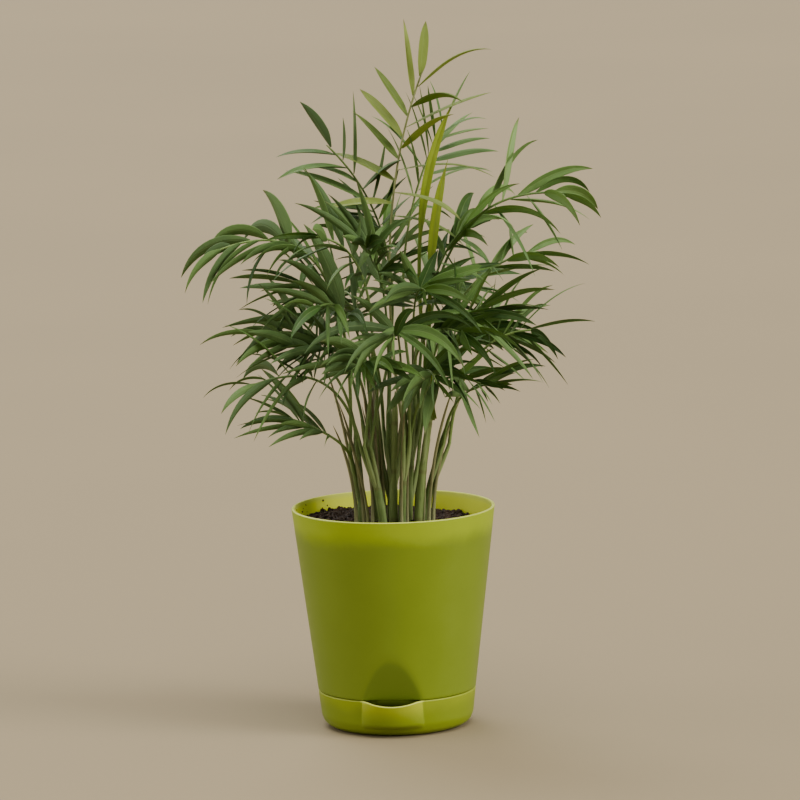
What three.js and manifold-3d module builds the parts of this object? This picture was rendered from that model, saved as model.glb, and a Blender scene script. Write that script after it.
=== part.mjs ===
// A young parlour palm: a clump of seedlings in a small self-watering pot.
//
// Millimetres, +Z up.  The origin is the middle of the pot's underside, on the
// table.  -Y is the front, where the pot's filling spout is.
//
// The pot stands on a separate reservoir base, and a wick draws water up into
// the soil.  Each seedling is a stem whose foot is buried in the soil, and each
// of its fronds (petiole, rachis and leaflets, grown as one) is one piece.

import * as THREE from 'three';
import { mergeVertices } from 'three/addons/utils/BufferGeometryUtils.js';
import Module from 'manifold-3d';

const wasm = await Module();
wasm.setup();

// ---------------------------------------------------------------- pot sizes
const POT_HEIGHT = 114; // the rim above the table
const RIM_RADIUS = 52.5; // outside, at the rim
const SEAM_RADIUS = 40.8; // outside, where the pot meets its base
const WALL = 1.6; // every moulded wall
const RIM_ROUND = 0.6; // the rim's broken edge
const SKIRT_DEPTH = 7; // the pot's skirt goes this far down inside the base
const SKIRT_CLEARANCE = 0.4; // between the skirt and the base's wall
const POT_FLOOR = 2; // thickness
const DRAIN_HOLES = 6;
const DRAIN_RADIUS = 2.2;
const DRAIN_CIRCLE = 22; // radius of the circle that the drain holes lie on

// The flat facet at the pot's foot, which leaves room to pour water in.
const FACET_INSET = 3.2; // behind the pot's outline, at the seam
const FACET_LEAN = 15; // degrees from upright
const FRONT_TURN = -4; // degrees, facet and spout together, about the pot's axis

// ---------------------------------------------------- reservoir base sizes
const BASE_HEIGHT = 19;
const BASE_FOOT_RADIUS = 38.6; // outside, at the foot if its edge weren't rounded
const BASE_ROUND = 7; // radius of the rounded bottom edge
const BASE_FLOOR = 1.8; // thickness
const SPOUT_HALF_WIDTH = 16.5; // of the pouch in front, at its lip
const SPOUT_REACH = 4.6; // how far the lip stands in front of the pot
const SPOUT_BACK = 34; // the pouch's own axis, from the pot's axis
const SPOUT_FOOT = 5; // the pouch starts this high
const SPOUT_TAPER = 0.74; // the pouch's depth at its foot against that at its lip
const LIP_DIP = 1.7; // the lip sags in the middle
const LIP_DIP_HALF_WIDTH = 13;

// ------------------------------------------------------- wick and soil
const WICK_RADIUS = 3.2;
const WICK_HOLE_CLEARANCE = 0.5;
const WICK_TOP = 52; // above the table
const HEADSPACE = 10; // from the rim down to the soil
const HEAP = 3; // how far the soil's surface rises and falls

// --------------------------------------------------------- plant sizes
const STEM_RADIUS = 2.7; // at the soil
const STEM_TOP_RADIUS = 1.7;
const STEM_SPACE = 1.5; // clear space between two stems' feet
const STEM_BURIED = 22; // length in the soil
const PETIOLE_HALF = 0.95; // half the width of a petiole
const RACHIS_HALF = 0.55; // the same at a frond's tip
const BLADE_THICKNESS = 0.6;
const PLANT_HEIGHT = 234; // the tallest frond's tip above the soil
const PLANT_SPREAD = 94; // the widest frond's tip from the pot's axis

const GAP = 0.3; // between two pieces that rest on each other
const ROUND_SIDES = 64; // sides of the pot's circles
const ROUND_STEPS = 5; // steps round the base's bottom edge
const SOIL_SIDES = 40;
const SOIL_RINGS = 5;
const STEM_SIDES = 8;

const UP = new THREE.Vector3(0, 0, 1);
const radians = THREE.MathUtils.degToRad;
const lerp = THREE.MathUtils.lerp;

// ------------------------------------------------------------- materials
const plastic = (colour) =>
  new THREE.MeshStandardMaterial({ color: colour, roughness: 0.42, metalness: 0 });
const leafMaterial = (colour) =>
  new THREE.MeshStandardMaterial({ color: colour, roughness: 0.5, metalness: 0 });
const LIME = 0x9db52c;
const SOIL_BROWN = 0x2e1f16;
const FIBRE = 0xd8d0bb;
const STEM_GREEN = 0x8fa566;
const LEAF_GREENS = [0x3f6134, 0x4c7038, 0x35552f, 0x587a3a];
const YOUNG_LEAF = 0x8c9a55;
const SPEAR_GREEN = 0xb4c63f;

// ---------------------------------------------------- solids and skins
/** A closed three.js geometry as a solid that can be cut and joined. */
function solid(geometry) {
  const bare = geometry.clone();
  bare.deleteAttribute('normal');
  bare.deleteAttribute('uv');
  const merged = mergeVertices(bare, 1e-4);
  const faces = [];
  for (let i = 0; i < merged.index.count; i += 3) {
    const [a, b, c] = merged.index.array.slice(i, i + 3);
    if (a !== b && b !== c && c !== a) faces.push(a, b, c);
  }
  return new wasm.Manifold(
    new wasm.Mesh({
      numProp: 3,
      vertProperties: new Float32Array(merged.attributes.position.array),
      triVerts: new Uint32Array(faces),
    }),
  );
}

/** A solid back as three.js geometry. */
function geometryOf(cut) {
  const mesh = cut.getMesh();
  const geometry = new THREE.BufferGeometry();
  geometry.setAttribute('position', new THREE.BufferAttribute(mesh.vertProperties, 3));
  geometry.setIndex(new THREE.BufferAttribute(mesh.triVerts, 1));
  geometry.computeVertexNormals();
  return geometry;
}

/** A turned solid: (radius, height) points that start and end on the axis. */
function turned(points, sides) {
  const profile = points.map(([radius, height]) => new THREE.Vector2(radius, height));
  return new THREE.LatheGeometry(profile, sides).rotateX(Math.PI / 2);
}

/** A closed skin grown ring by ring, whose side quads can sprout branches. */
class Skin {
  constructor() {
    this.points = [];
    this.faces = [];
  }

  /** Adds a ring of corners and returns their numbers. */
  ring(corners) {
    const first = this.points.length / 3;
    corners.forEach((corner) => this.points.push(corner.x, corner.y, corner.z));
    return corners.map((_, i) => first + i);
  }

  /** Joins two rings; a side in `open` is left for a branch. */
  bridge(lower, upper, open = []) {
    lower.forEach((corner, i) => {
      if (open.includes(i)) return;
      const next = (i + 1) % lower.length;
      this.faces.push(corner, lower[next], upper[next]);
      this.faces.push(corner, upper[next], upper[i]);
    });
  }

  /** Draws a ring together to one point. */
  point(ring, tip) {
    const [end] = this.ring([tip]);
    ring.forEach((corner, i) => this.faces.push(corner, ring[(i + 1) % ring.length], end));
  }

  /** Closes a ring with a flat end; the first ring's end looks backwards. */
  close(ring, backwards = false) {
    for (let i = 1; i + 1 < ring.length; i += 1) {
      const fan = [ring[0], ring[i], ring[i + 1]];
      this.faces.push(...(backwards ? fan.reverse() : fan));
    }
  }

  geometry() {
    const geometry = new THREE.BufferGeometry();
    geometry.setAttribute('position', new THREE.Float32BufferAttribute(this.points, 3));
    geometry.setIndex(this.faces);
    geometry.computeVertexNormals();
    return geometry;
  }
}

const group = new THREE.Group();

/** Puts one named piece in the model. */
function piece(name, geometry, material) {
  const mesh = new THREE.Mesh(geometry, material);
  mesh.name = name;
  group.add(mesh);
}

// ------------------------------------------------------------------- pot
const SEAM = BASE_HEIGHT + GAP; // the pot's shoulder rests here
const FLOOR_UNDER = BASE_HEIGHT - SKIRT_DEPTH;
const FLOOR_TOP = FLOOR_UNDER + POT_FLOOR;
const SOIL_LEVEL = POT_HEIGHT - HEADSPACE;

const potOuter = (z) => lerp(SEAM_RADIUS, RIM_RADIUS, (z - SEAM) / (POT_HEIGHT - SEAM));
const potInner = (z) => potOuter(z) - WALL;
const baseOuter = (z) => lerp(BASE_FOOT_RADIUS, SEAM_RADIUS, z / BASE_HEIGHT);
const baseInner = (z) => baseOuter(z) - WALL;
const SKIRT_RADIUS = baseInner(FLOOR_UNDER) - SKIRT_CLEARANCE;

/** All that lies in front of the facet, moved `behind` it into the pot. */
function beforeFacet(behind) {
  const reach = 4 * RIM_RADIUS;
  const box = new THREE.BoxGeometry(reach, reach, reach);
  box.translate(0, -reach / 2, 0).rotateX(radians(FACET_LEAN));
  box.translate(0, behind - SEAM_RADIUS + FACET_INSET, SEAM);
  return solid(box.rotateZ(radians(FRONT_TURN)));
}

/** What fills the pot's inside, drawn in by `inset` all round. */
function potFilling(top, inset) {
  const step = SEAM + WALL;
  const profile = [
    [0, FLOOR_TOP + inset],
    [SKIRT_RADIUS - WALL - inset, FLOOR_TOP + inset],
    [SKIRT_RADIUS - WALL - inset, step + inset],
    [potInner(step) - inset, step + inset],
    [potInner(top) - inset, top],
    [0, top],
  ];
  return solid(turned(profile, ROUND_SIDES)).subtract(beforeFacet(WALL + inset));
}

/** Rods through the pot's floor: the wick's hole and the ring of drain holes. */
function floorHoles() {
  const rod = (radius) =>
    new THREE.CylinderGeometry(radius, radius, 4 * POT_FLOOR, 16).rotateX(Math.PI / 2);
  let holes = solid(rod(WICK_RADIUS + WICK_HOLE_CLEARANCE).translate(0, 0, FLOOR_TOP));
  for (let i = 0; i < DRAIN_HOLES; i += 1) {
    const hole = rod(DRAIN_RADIUS).translate(DRAIN_CIRCLE, 0, FLOOR_TOP);
    holes = holes.add(solid(hole.rotateZ((2 * Math.PI * (i + 0.5)) / DRAIN_HOLES)));
  }
  return holes;
}

function pot() {
  const shell = turned(
    [
      [0, FLOOR_UNDER],
      [SKIRT_RADIUS, FLOOR_UNDER],
      [SKIRT_RADIUS, SEAM],
      [SEAM_RADIUS, SEAM],
      [potOuter(POT_HEIGHT - RIM_ROUND), POT_HEIGHT - RIM_ROUND],
      [RIM_RADIUS - RIM_ROUND, POT_HEIGHT],
      [0, POT_HEIGHT],
    ],
    ROUND_SIDES,
  );
  const cut = solid(shell)
    .subtract(beforeFacet(0))
    .subtract(potFilling(POT_HEIGHT + WALL, 0))
    .subtract(floorHoles());
  piece('pot', geometryOf(cut), plastic(LIME));
}

// -------------------------------------------------------- reservoir base
/** The spout's pouch, drawn in by `inset`, from `bottom` up to `top`. */
function pouch(inset, bottom, top) {
  const skin = new Skin();
  const depth = SEAM_RADIUS + SPOUT_REACH - SPOUT_BACK;
  const oval = (z) => {
    const taper = lerp(SPOUT_TAPER, 1, (z - SPOUT_FOOT) / (BASE_HEIGHT - SPOUT_FOOT));
    return Array.from({ length: ROUND_SIDES / 2 }, (_, i) => {
      const turn = (4 * Math.PI * i) / ROUND_SIDES;
      const x = (SPOUT_HALF_WIDTH - inset) * Math.cos(turn);
      return new THREE.Vector3(x, (depth * taper - inset) * Math.sin(turn) - SPOUT_BACK, z);
    });
  };
  const lower = skin.ring(oval(bottom));
  const upper = skin.ring(oval(top));
  skin.close(lower, true);
  skin.bridge(lower, upper);
  skin.close(upper);
  return solid(skin.geometry().rotateZ(radians(FRONT_TURN)));
}

/** The round bar that lowers the lip in the middle. */
function lipDip() {
  const radius = (LIP_DIP_HALF_WIDTH ** 2 + LIP_DIP ** 2) / (2 * LIP_DIP);
  const bar = new THREE.CylinderGeometry(radius, radius, 2 * SPOUT_REACH + WALL, 256);
  bar.translate(0, -SEAM_RADIUS - SPOUT_REACH, BASE_HEIGHT - LIP_DIP + radius);
  return solid(bar.rotateZ(radians(FRONT_TURN)));
}

function reservoirBase() {
  const flat = BASE_FOOT_RADIUS - BASE_ROUND;
  const bottomEdge = (bottom, wide) =>
    Array.from({ length: ROUND_STEPS + 1 }, (_, i) => {
      const turn = (Math.PI / 2) * (i / ROUND_STEPS);
      const rise = (BASE_ROUND - bottom) * (1 - Math.cos(turn));
      return [flat + (wide - flat) * Math.sin(turn), bottom + rise];
    });
  const cup = turned(
    [[0, 0], ...bottomEdge(0, baseOuter(BASE_ROUND)), [SEAM_RADIUS, BASE_HEIGHT], [0, BASE_HEIGHT]],
    ROUND_SIDES,
  );
  const inside = turned(
    [
      [0, BASE_FLOOR],
      ...bottomEdge(BASE_FLOOR, baseInner(BASE_ROUND)),
      [baseInner(BASE_HEIGHT), BASE_HEIGHT],
      [baseInner(BASE_HEIGHT), BASE_HEIGHT + WALL],
      [0, BASE_HEIGHT + WALL],
    ],
    ROUND_SIDES,
  );
  const cut = solid(cup)
    .add(pouch(0, SPOUT_FOOT, BASE_HEIGHT))
    .subtract(pouch(WALL, SPOUT_FOOT + WALL, BASE_HEIGHT + WALL))
    .subtract(solid(inside))
    .subtract(lipDip());
  piece('reservoir_base', geometryOf(cut), plastic(LIME));
}

function wickShape(grow) {
  const length = WICK_TOP - BASE_FLOOR - GAP + grow;
  const rod = new THREE.CylinderGeometry(WICK_RADIUS + grow, WICK_RADIUS + grow, length, 12);
  return rod.rotateX(Math.PI / 2).translate(0, 0, WICK_TOP + grow - length / 2);
}

// ------------------------------------------------------------------ stems
// Each seedling's foot is placed in steps of one stem and its space, and its
// crown, in millimetres, is where the sheaths end and the petioles part.
const STEM_STEP = 2 * STEM_RADIUS + STEM_SPACE;
const DRAWN_HEIGHT = 234; // the plant that the points below are drawn for
const DRAWN_SPREAD = 94;

/** A point of the drawn plant, at its height above the soil. */
function grown(x, y, height) {
  const wide = PLANT_SPREAD / DRAWN_SPREAD;
  const tall = PLANT_HEIGHT / DRAWN_HEIGHT;
  return new THREE.Vector3(x * wide, y * wide, SOIL_LEVEL + height * tall);
}

const SEEDLINGS = {
  left: { foot: [-2.3, 0.3], crown: [-18, 3, 42] },
  lean: { foot: [-0.75, -1.05], crown: [-13, -11, 46] },
  back_left: { foot: [-1.2, 0.75], crown: [-8, 8, 52] },
  centre: { foot: [0, 0], crown: [2, -1, 58] },
  front: { foot: [0.7, -1.0], crown: [7, -9, 50] },
  inner_right: { foot: [1.1, 0.3], crown: [12, 4, 60] },
  right: { foot: [1.9, -0.5], crown: [20, -6, 58] },
  far_right: { foot: [2.35, 0.45], crown: [27, 5, 44] },
  back: { foot: [-0.1, 1.4], crown: [-1, 14, 54] },
  back_right: { foot: [1.0, 1.5], crown: [11, 15, 56] },
};
const STEM_RINGS = 5;

/** A stem's middle line, from its buried foot to its crown. */
function stemLine(seedling) {
  const [column, row] = seedling.foot;
  const foot = new THREE.Vector3(column * STEM_STEP, row * STEM_STEP, SOIL_LEVEL);
  const crown = grown(...seedling.crown);
  const deep = foot.clone().setZ(SOIL_LEVEL - STEM_BURIED);
  const shoulder = foot.clone().lerp(crown, 0.45);
  shoulder.x += 0.12 * (foot.x - crown.x);
  return new THREE.CatmullRomCurve3([deep, foot, shoulder, crown], false, 'centripetal');
}

/** A round stem along its line, made wider by `grow`. */
function stemShape(seedling, grow) {
  const skin = new Skin();
  const line = stemLine(seedling);
  let below = null;
  for (let i = 0; i < STEM_RINGS; i += 1) {
    const along = i / (STEM_RINGS - 1);
    const centre = line.getPointAt(along);
    if (i === 0) centre.z -= grow;
    const radius = lerp(STEM_RADIUS, STEM_TOP_RADIUS, along) + grow;
    const corners = Array.from({ length: STEM_SIDES }, (_, side) => {
      const turn = (2 * Math.PI * side) / STEM_SIDES;
      return new THREE.Vector3(Math.cos(turn), Math.sin(turn), 0).multiplyScalar(radius).add(centre);
    });
    const ring = skin.ring(corners);
    if (below) skin.bridge(below, ring);
    else skin.close(ring, true);
    below = ring;
  }
  skin.close(below);
  return skin.geometry();
}

// ------------------------------------------------------------------- soil
/** The soil's surface: uneven, and heaped up to the left and the back. */
function soilSurface(x, y) {
  const waves = Math.sin(x / 9 + 1.1) * Math.cos(y / 8) + 0.5 * Math.sin((x + 2 * y) / 7);
  return SOIL_LEVEL + HEAP * (0.25 * waves + (0.5 * y - x) / (1.2 * RIM_RADIUS));
}

/** The air over the soil, whose underside is the heap. */
function airOverSoil() {
  const reach = RIM_RADIUS + 2 * WALL;
  const top = SOIL_LEVEL + 4 * HEAP;
  const underside = Array.from({ length: SOIL_RINGS + 1 }, (_, i) => [
    (reach * i) / SOIL_RINGS,
    SOIL_LEVEL,
  ]);
  const air = turned([...underside, [reach, top], [0, top]], SOIL_SIDES);
  const place = air.attributes.position;
  for (let i = 0; i < place.count; i += 1) {
    const [x, y, z] = [place.getX(i), place.getY(i), place.getZ(i)];
    if (z < SOIL_LEVEL + HEAP) place.setZ(i, soilSurface(x, y));
  }
  return solid(air);
}

function soil() {
  let cut = potFilling(SOIL_LEVEL + 3 * HEAP, GAP).subtract(airOverSoil());
  cut = cut.subtract(solid(wickShape(GAP)));
  Object.values(SEEDLINGS).forEach((seedling) => {
    cut = cut.subtract(solid(stemShape(seedling, GAP)));
  });
  const material = new THREE.MeshStandardMaterial({ color: SOIL_BROWN, roughness: 0.95 });
  piece('soil', geometryOf(cut), material);
}

// ----------------------------------------------------------------- fronds
// A frond's stalk leaves its stem's crown, passes through `mid` half way and
// ends at `tip`; both are points of the drawn plant.  Its first `bare` part is
// the petiole, and leaflets stand alternately along the rest, the rachis:
//   leaves  how many there are            longest, wide  their size, mm
//   spread  degrees from the rachis       lift           degrees above it
//   roll    degrees turned on the rachis  droop          how far they bow down
const FROND = { bare: 0.52, leaves: 12, longest: 42, wide: 7, spread: 52, lift: 8, roll: 0, droop: 0.8 };

const FRONDS = [
  // the crown of the clump
  {
    name: 'crown', on: 'centre', mid: [2, 2, 154], tip: [20, 3, 234],
    leaves: 14, longest: 44, wide: 6, lift: 2, roll: 56, droop: 1.3, spread: 49,
  },
  {
    name: 'crown_left', on: 'back_left', mid: [1, 12, 134], tip: [-30, 17, 196],
    bare: 0.62, roll: -38, lift: 4, longest: 38,
  },
  {
    name: 'crown_right', on: 'inner_right', mid: [9, 8, 140], tip: [31, 12, 206],
    bare: 0.66, roll: 40, lift: 4, longest: 38, droop: 1.1,
  },
  // the three long arching fronds
  {
    name: 'arch_left', on: 'left', mid: [-34, 0, 133], tip: [-88, -8, 145],
    leaves: 13, wide: 8.5, longest: 42, droop: 1.5, lift: 0,
  },
  {
    name: 'arch_right', on: 'right', mid: [34, -2, 144], tip: [94, -4, 170],
    leaves: 15, longest: 44, spread: 52, droop: 1.4, lift: 4,
  },
  {
    name: 'arch_back_right', on: 'inner_right', mid: [38, 12, 116], tip: [78, 20, 138],
    longest: 38, droop: 1.2,
  },
  // the side fronds, from the highest to the lowest
  {
    name: 'upper_left', on: 'lean', mid: [-11, -12, 124], tip: [-38, -26, 154],
    wide: 9, longest: 40, droop: 1.2,
  },
  {
    name: 'upper_right', on: 'back_right', mid: [24, 2, 122], tip: [44, -8, 156],
    wide: 8, droop: 1.1,
  },
  { name: 'inner_left', on: 'back', mid: [-16, 12, 108], tip: [-50, 10, 124], wide: 7.5 },
  {
    name: 'side_left', on: 'left', mid: [-30, -6, 82], tip: [-62, -14, 101],
    longest: 40, wide: 8.5, droop: 1.1,
  },
  {
    name: 'side_right', on: 'far_right', mid: [44, -3, 86], tip: [74, -8, 101],
    longest: 40, bare: 0.6, leaves: 13, droop: 1.3,
  },
  {
    name: 'low_left', on: 'lean', mid: [-35, -20, 78], tip: [-72, -30, 78],
    longest: 40, droop: 1.3, wide: 7.5,
  },
  {
    name: 'low_right', on: 'far_right', mid: [35, -10, 66], tip: [52, -26, 76],
    longest: 36, leaves: 10, bare: 0.6,
  },
  {
    name: 'lowest_left', on: 'left', mid: [-30, -12, 48], tip: [-54, -16, 60],
    longest: 38, leaves: 10, wide: 6,
  },
  // the dark heads in the middle, towards the front
  { name: 'upper_middle', on: 'centre', mid: [-2, -3, 118], tip: [-14, -22, 150], wide: 8.5 },
  { name: 'middle_high', on: 'inner_right', mid: [13, -9, 112], tip: [19, -38, 126], wide: 8.5 },
  { name: 'front', on: 'front', mid: [5, -21, 98], tip: [2, -54, 102], wide: 9, longest: 44, droop: 1.4 },
  { name: 'front_right', on: 'front', mid: [16, -19, 96], tip: [38, -40, 104], wide: 9, droop: 1.2 },
  { name: 'front_left', on: 'lean', mid: [-7, -24, 84], tip: [-20, -54, 88], wide: 8.5, droop: 1.1 },
  { name: 'front_low_right', on: 'front', mid: [22, -20, 76], tip: [46, -36, 78], wide: 8 },
  { name: 'front_low_middle', on: 'centre', mid: [10, -20, 80], tip: [18, -50, 80], wide: 8 },
  {
    name: 'front_upper_left', on: 'back_left', mid: [-18, -8, 106], tip: [-38, -36, 118],
    wide: 9, longest: 44, droop: 1.2,
  },
  { name: 'front_upper_right', on: 'right', mid: [30, -14, 100], tip: [54, -30, 114], wide: 8 },
  { name: 'middle_left', on: 'back_left', mid: [-20, -2, 86], tip: [-46, -20, 92], wide: 8.5 },
  { name: 'middle_right', on: 'inner_right', mid: [27, 0, 88], tip: [52, 4, 98], wide: 8 },
  // the back of the clump
  { name: 'back_middle', on: 'back', mid: [1, 24, 122], tip: [-4, 46, 148], wide: 8 },
  { name: 'back_left', on: 'back', mid: [-9, 28, 104], tip: [-22, 58, 112], wide: 8 },
  { name: 'back_right', on: 'back_right', mid: [17, 30, 108], tip: [28, 62, 116], wide: 8 },
  { name: 'back_far_left', on: 'back_left', mid: [-24, 20, 96], tip: [-50, 42, 103], wide: 7.5 },
  { name: 'back_far_right', on: 'back_right', mid: [32, 24, 90], tip: [56, 44, 96], wide: 7.5 },
].map((frond) => ({ ...FROND, ...frond }));

// Unopened leaves: narrow pleated blades that stand in the crown.
const SPEARS = [
  { name: 'spear_tall', on: 'right', mid: [17, -4, 150], tip: [36, -6, 220], wide: 5.2 },
  { name: 'spear_short', on: 'right', mid: [22, -9, 130], tip: [32, -10, 190], wide: 5.6 },
];

const STALK_STEPS = 48; // points along a stalk where its room is looked for
const BLADE_STEPS = 12; // steps in which a leaflet is grown
const BLADE_CUTS = [3, 7, 12]; // the steps that its solid keeps
const PETIOLE_RINGS = 5;
const ROOM = 1.9; // side of the cells in which taken room is noted
const ROOM_STEP = 0.75; // between two points that are noted
const ROOT_FREE = 0.35; // a leaflet's first part may be close to its own frond
const LENGTHS = [1, 0.8, 0.62, 0.45, 0.3];
const LIFTS = [0, 14, -14, 28, -28, 42, -42, 58];
const SWINGS = [0, 12, -12, 24];

/** The room that is already taken, cell by cell, and by whom. */
class Room {
  constructor() {
    this.owners = new Map();
  }

  static cell(point) {
    const number = (value) => Math.floor(value / ROOM) + 512;
    return (number(point.x) * 1024 + number(point.y)) * 1024 + number(point.z);
  }

  take(points, owner) {
    points.forEach((point) => {
      const cell = Room.cell(point);
      if (!this.owners.has(cell)) this.owners.set(cell, new Set());
      this.owners.get(cell).add(owner);
    });
  }

  /** Whether nobody but those in `friends` is in these cells or next to them. */
  isFree(points, friends = []) {
    for (const cell of new Set(points.map(Room.cell))) {
      for (let i = -1; i <= 1; i += 1) {
        for (let j = -1; j <= 1; j += 1) {
          for (let k = -1; k <= 1; k += 1) {
            const owners = this.owners.get(cell + (i * 1024 + j) * 1024 + k);
            if (owners && [...owners].some((owner) => !friends.includes(owner))) return false;
          }
        }
      }
    }
    return true;
  }
}

/** Points over a thin strip: a line of middles, each with its half width across. */
function stripPoints(stations) {
  const points = [];
  for (let i = 0; i + 1 < stations.length; i += 1) {
    const [from, to] = [stations[i], stations[i + 1]];
    const along = Math.ceil(from.middle.distanceTo(to.middle) / ROOM_STEP);
    for (let a = 0; a <= along; a += 1) {
      const middle = from.middle.clone().lerp(to.middle, a / along);
      const half = from.across.clone().lerp(to.across, a / along);
      const wide = Math.max(1, Math.ceil((2 * half.length()) / ROOM_STEP));
      for (let w = 0; w <= wide; w += 1) {
        points.push(middle.clone().addScaledVector(half, (2 * w) / wide - 1));
      }
    }
  }
  return points;
}

/** Points along a round rod: enough to keep others out of its thickness. */
function rodPoints(line, half) {
  const points = [];
  line.forEach((middle) => {
    [[0, 0], [1, 0], [-1, 0], [0, 1], [0, -1]].forEach(([x, y]) => {
      points.push(new THREE.Vector3(middle.x + x * half, middle.y + y * half, middle.z));
    });
  });
  return points;
}

const room = new Room();

/** A repeatable number between -0.5 and 0.5, one for each seed. */
const wobble = (seed) => ((seed * 0.618034) % 1) - 0.5;

/** A curve from `foot` to `tip` that passes through `mid` half way. */
function arch(foot, mid, tip) {
  const pull = mid.clone().multiplyScalar(2).addScaledVector(foot, -0.5).addScaledVector(tip, -0.5);
  return new THREE.QuadraticBezierCurve3(foot, pull, tip);
}

/** A rod: points along a line and the radius at each. */
function rodAlong(curve, radiusAt) {
  const middles = curve.getPoints(STALK_STEPS);
  return { middles, radii: middles.map((_, i) => radiusAt(i / STALK_STEPS)) };
}

/** Whether a rod keeps its gap from every rod that already stands. */
function clearsRods(rod, rods) {
  return rods.every((other) =>
    rod.middles.every((middle, i) =>
      other.middles.every((end, j) => {
        if (j === 0) return true;
        const start = other.middles[j - 1];
        const line = new THREE.Line3(start, end);
        const nearest = line.closestPointToPoint(middle, true, new THREE.Vector3());
        return nearest.distanceTo(middle) > rod.radii[i] + other.radii[j] + GAP;
      }),
    ),
  );
}

const FOOT_TURNS = [0, 35, -35, 70, -70];
const FOOT_DROPS = [2.5, 8, 14, 20, 26];
const SIDESTEPS = [0, 3, -3, 6, -6, 9, -9, 13, -13, 18, -18, 24, -24];

/** The first stalk that finds room: its foot may turn on the stem or drop down it,
 *  and the rest may step aside.  If none does, the last one tried stands. */
function growStalk(leaf, radiusAt, rods) {
  const stem = stemLine(SEEDLINGS[leaf.on]);
  const length = stem.getLength();
  const [mid, tip] = [grown(...leaf.mid), grown(...leaf.tip)];
  const outwards = tip.clone().sub(stem.getPointAt(1)).setZ(0).normalize();
  const sideways = new THREE.Vector3().crossVectors(UP, outwards);
  const reach = STEM_TOP_RADIUS + PETIOLE_HALF * Math.SQRT2 + 2 * GAP;
  let stalk = null;
  for (const sidestep of SIDESTEPS) {
    const aside = mid.clone().addScaledVector(sideways, sidestep);
    const end = tip.clone().addScaledVector(sideways, sidestep);
    for (const drop of FOOT_DROPS) {
      const widening = (STEM_RADIUS - STEM_TOP_RADIUS) * (drop / length);
      for (const turn of FOOT_TURNS) {
        const foot = stem.getPointAt(1 - drop / length);
        foot.addScaledVector(outwards.clone().applyAxisAngle(UP, radians(turn)), reach + widening);
        const curve = arch(foot, aside, end);
        stalk = { curve, outwards, rod: rodAlong(curve, radiusAt) };
        if (clearsRods(stalk.rod, rods)) return stalk;
      }
    }
  }
  return stalk;
}

/** The directions at a place on a stalk: along it, to its right, and its upper side. */
function stalkFrame(stalk, at, roll) {
  const along = stalk.curve.getTangent(at);
  const right = new THREE.Vector3().crossVectors(UP, stalk.outwards);
  right.applyAxisAngle(along, radians(roll));
  right.addScaledVector(along, -right.dot(along)).normalize();
  return { along, right, upper: new THREE.Vector3().crossVectors(along, right) };
}

const petioleHalf = (frond) => (at) =>
  lerp(PETIOLE_HALF, RACHIS_HALF, Math.min(1, at / frond.bare) * 0.5 + at * 0.5);

/** A four-cornered ring round a stalk. */
function stalkRing(skin, stalk, at, roll, half, high) {
  const { right, upper } = stalkFrame(stalk, at, roll);
  const centre = stalk.curve.getPoint(at);
  const corner = (x, y) => centre.clone().addScaledVector(right, x * half).addScaledVector(upper, y * high);
  return skin.ring([corner(1, 1), corner(-1, 1), corner(-1, -1), corner(1, -1)]);
}

/** How broad a leaflet is along its length, against its widest place. */
function outline(along) {
  const swell = 0.3 + 0.7 * Math.sin(Math.min(1, along / 0.45) * (Math.PI / 2));
  return along > 0.45 ? swell * (1 - ((along - 0.45) / 0.55) ** 2) : swell;
}

/** Where a frond's leaflet `i` stands, how big it is and how it starts out. */
function leafletPlan(frond, number, i) {
  const start = lerp(frond.bare, 1, i / frond.leaves);
  const end = lerp(frond.bare, 1, (i + 1) / frond.leaves);
  const q = i / (frond.leaves - 1);
  const bulge = 0.58 + 0.42 * Math.sin(Math.PI * (0.12 + 0.8 * q));
  const seed = 5 * number + i;
  const last = i >= frond.leaves - 2;
  return {
    start,
    end,
    side: (i + number) % 2 ? 1 : -1,
    length: frond.longest * bulge * (1 + 0.14 * wobble(seed)),
    width: frond.wide * (0.6 + 0.4 * bulge),
    spread: last ? 0.34 * frond.spread : frond.spread * (1 - 0.4 * q) + 9 * wobble(seed + 0.5),
    lift: frond.lift + 14 * wobble(seed + 0.25),
  };
}

/** A leaflet's stations, grown step by step from its place on the stalk. */
function growLeaflet(frond, stalk, plan, trial) {
  const at = (plan.start + plan.end) / 2;
  const { along, right, upper } = stalkFrame(stalk, at, frond.roll);
  const spread = radians(plan.spread + trial.swing);
  const lift = radians(plan.lift + trial.lift);
  const direction = along.clone().multiplyScalar(Math.cos(spread));
  direction.addScaledVector(right, plan.side * Math.sin(spread) * Math.cos(lift));
  direction.addScaledVector(upper, Math.sin(spread) * Math.sin(lift));
  const across = along.clone();
  const middle = stalk.curve.getPoint(at);
  middle.addScaledVector(right, plan.side * petioleHalf(frond)(at));
  const stations = [];
  for (let i = 0; i <= BLADE_STEPS; i += 1) {
    across.addScaledVector(direction, -across.dot(direction)).normalize();
    const half = (plan.width / 2) * outline(i / BLADE_STEPS);
    stations.push({
      middle: middle.clone(),
      across: across.clone().multiplyScalar(half),
      upper: new THREE.Vector3().crossVectors(across, direction).multiplyScalar(plan.side),
    });
    middle.addScaledVector(direction, (plan.length * trial.length) / BLADE_STEPS);
    direction.addScaledVector(UP, -frond.droop / BLADE_STEPS).normalize();
  }
  return [stations[0], ...BLADE_CUTS.map((step) => stations[step])];
}

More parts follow.
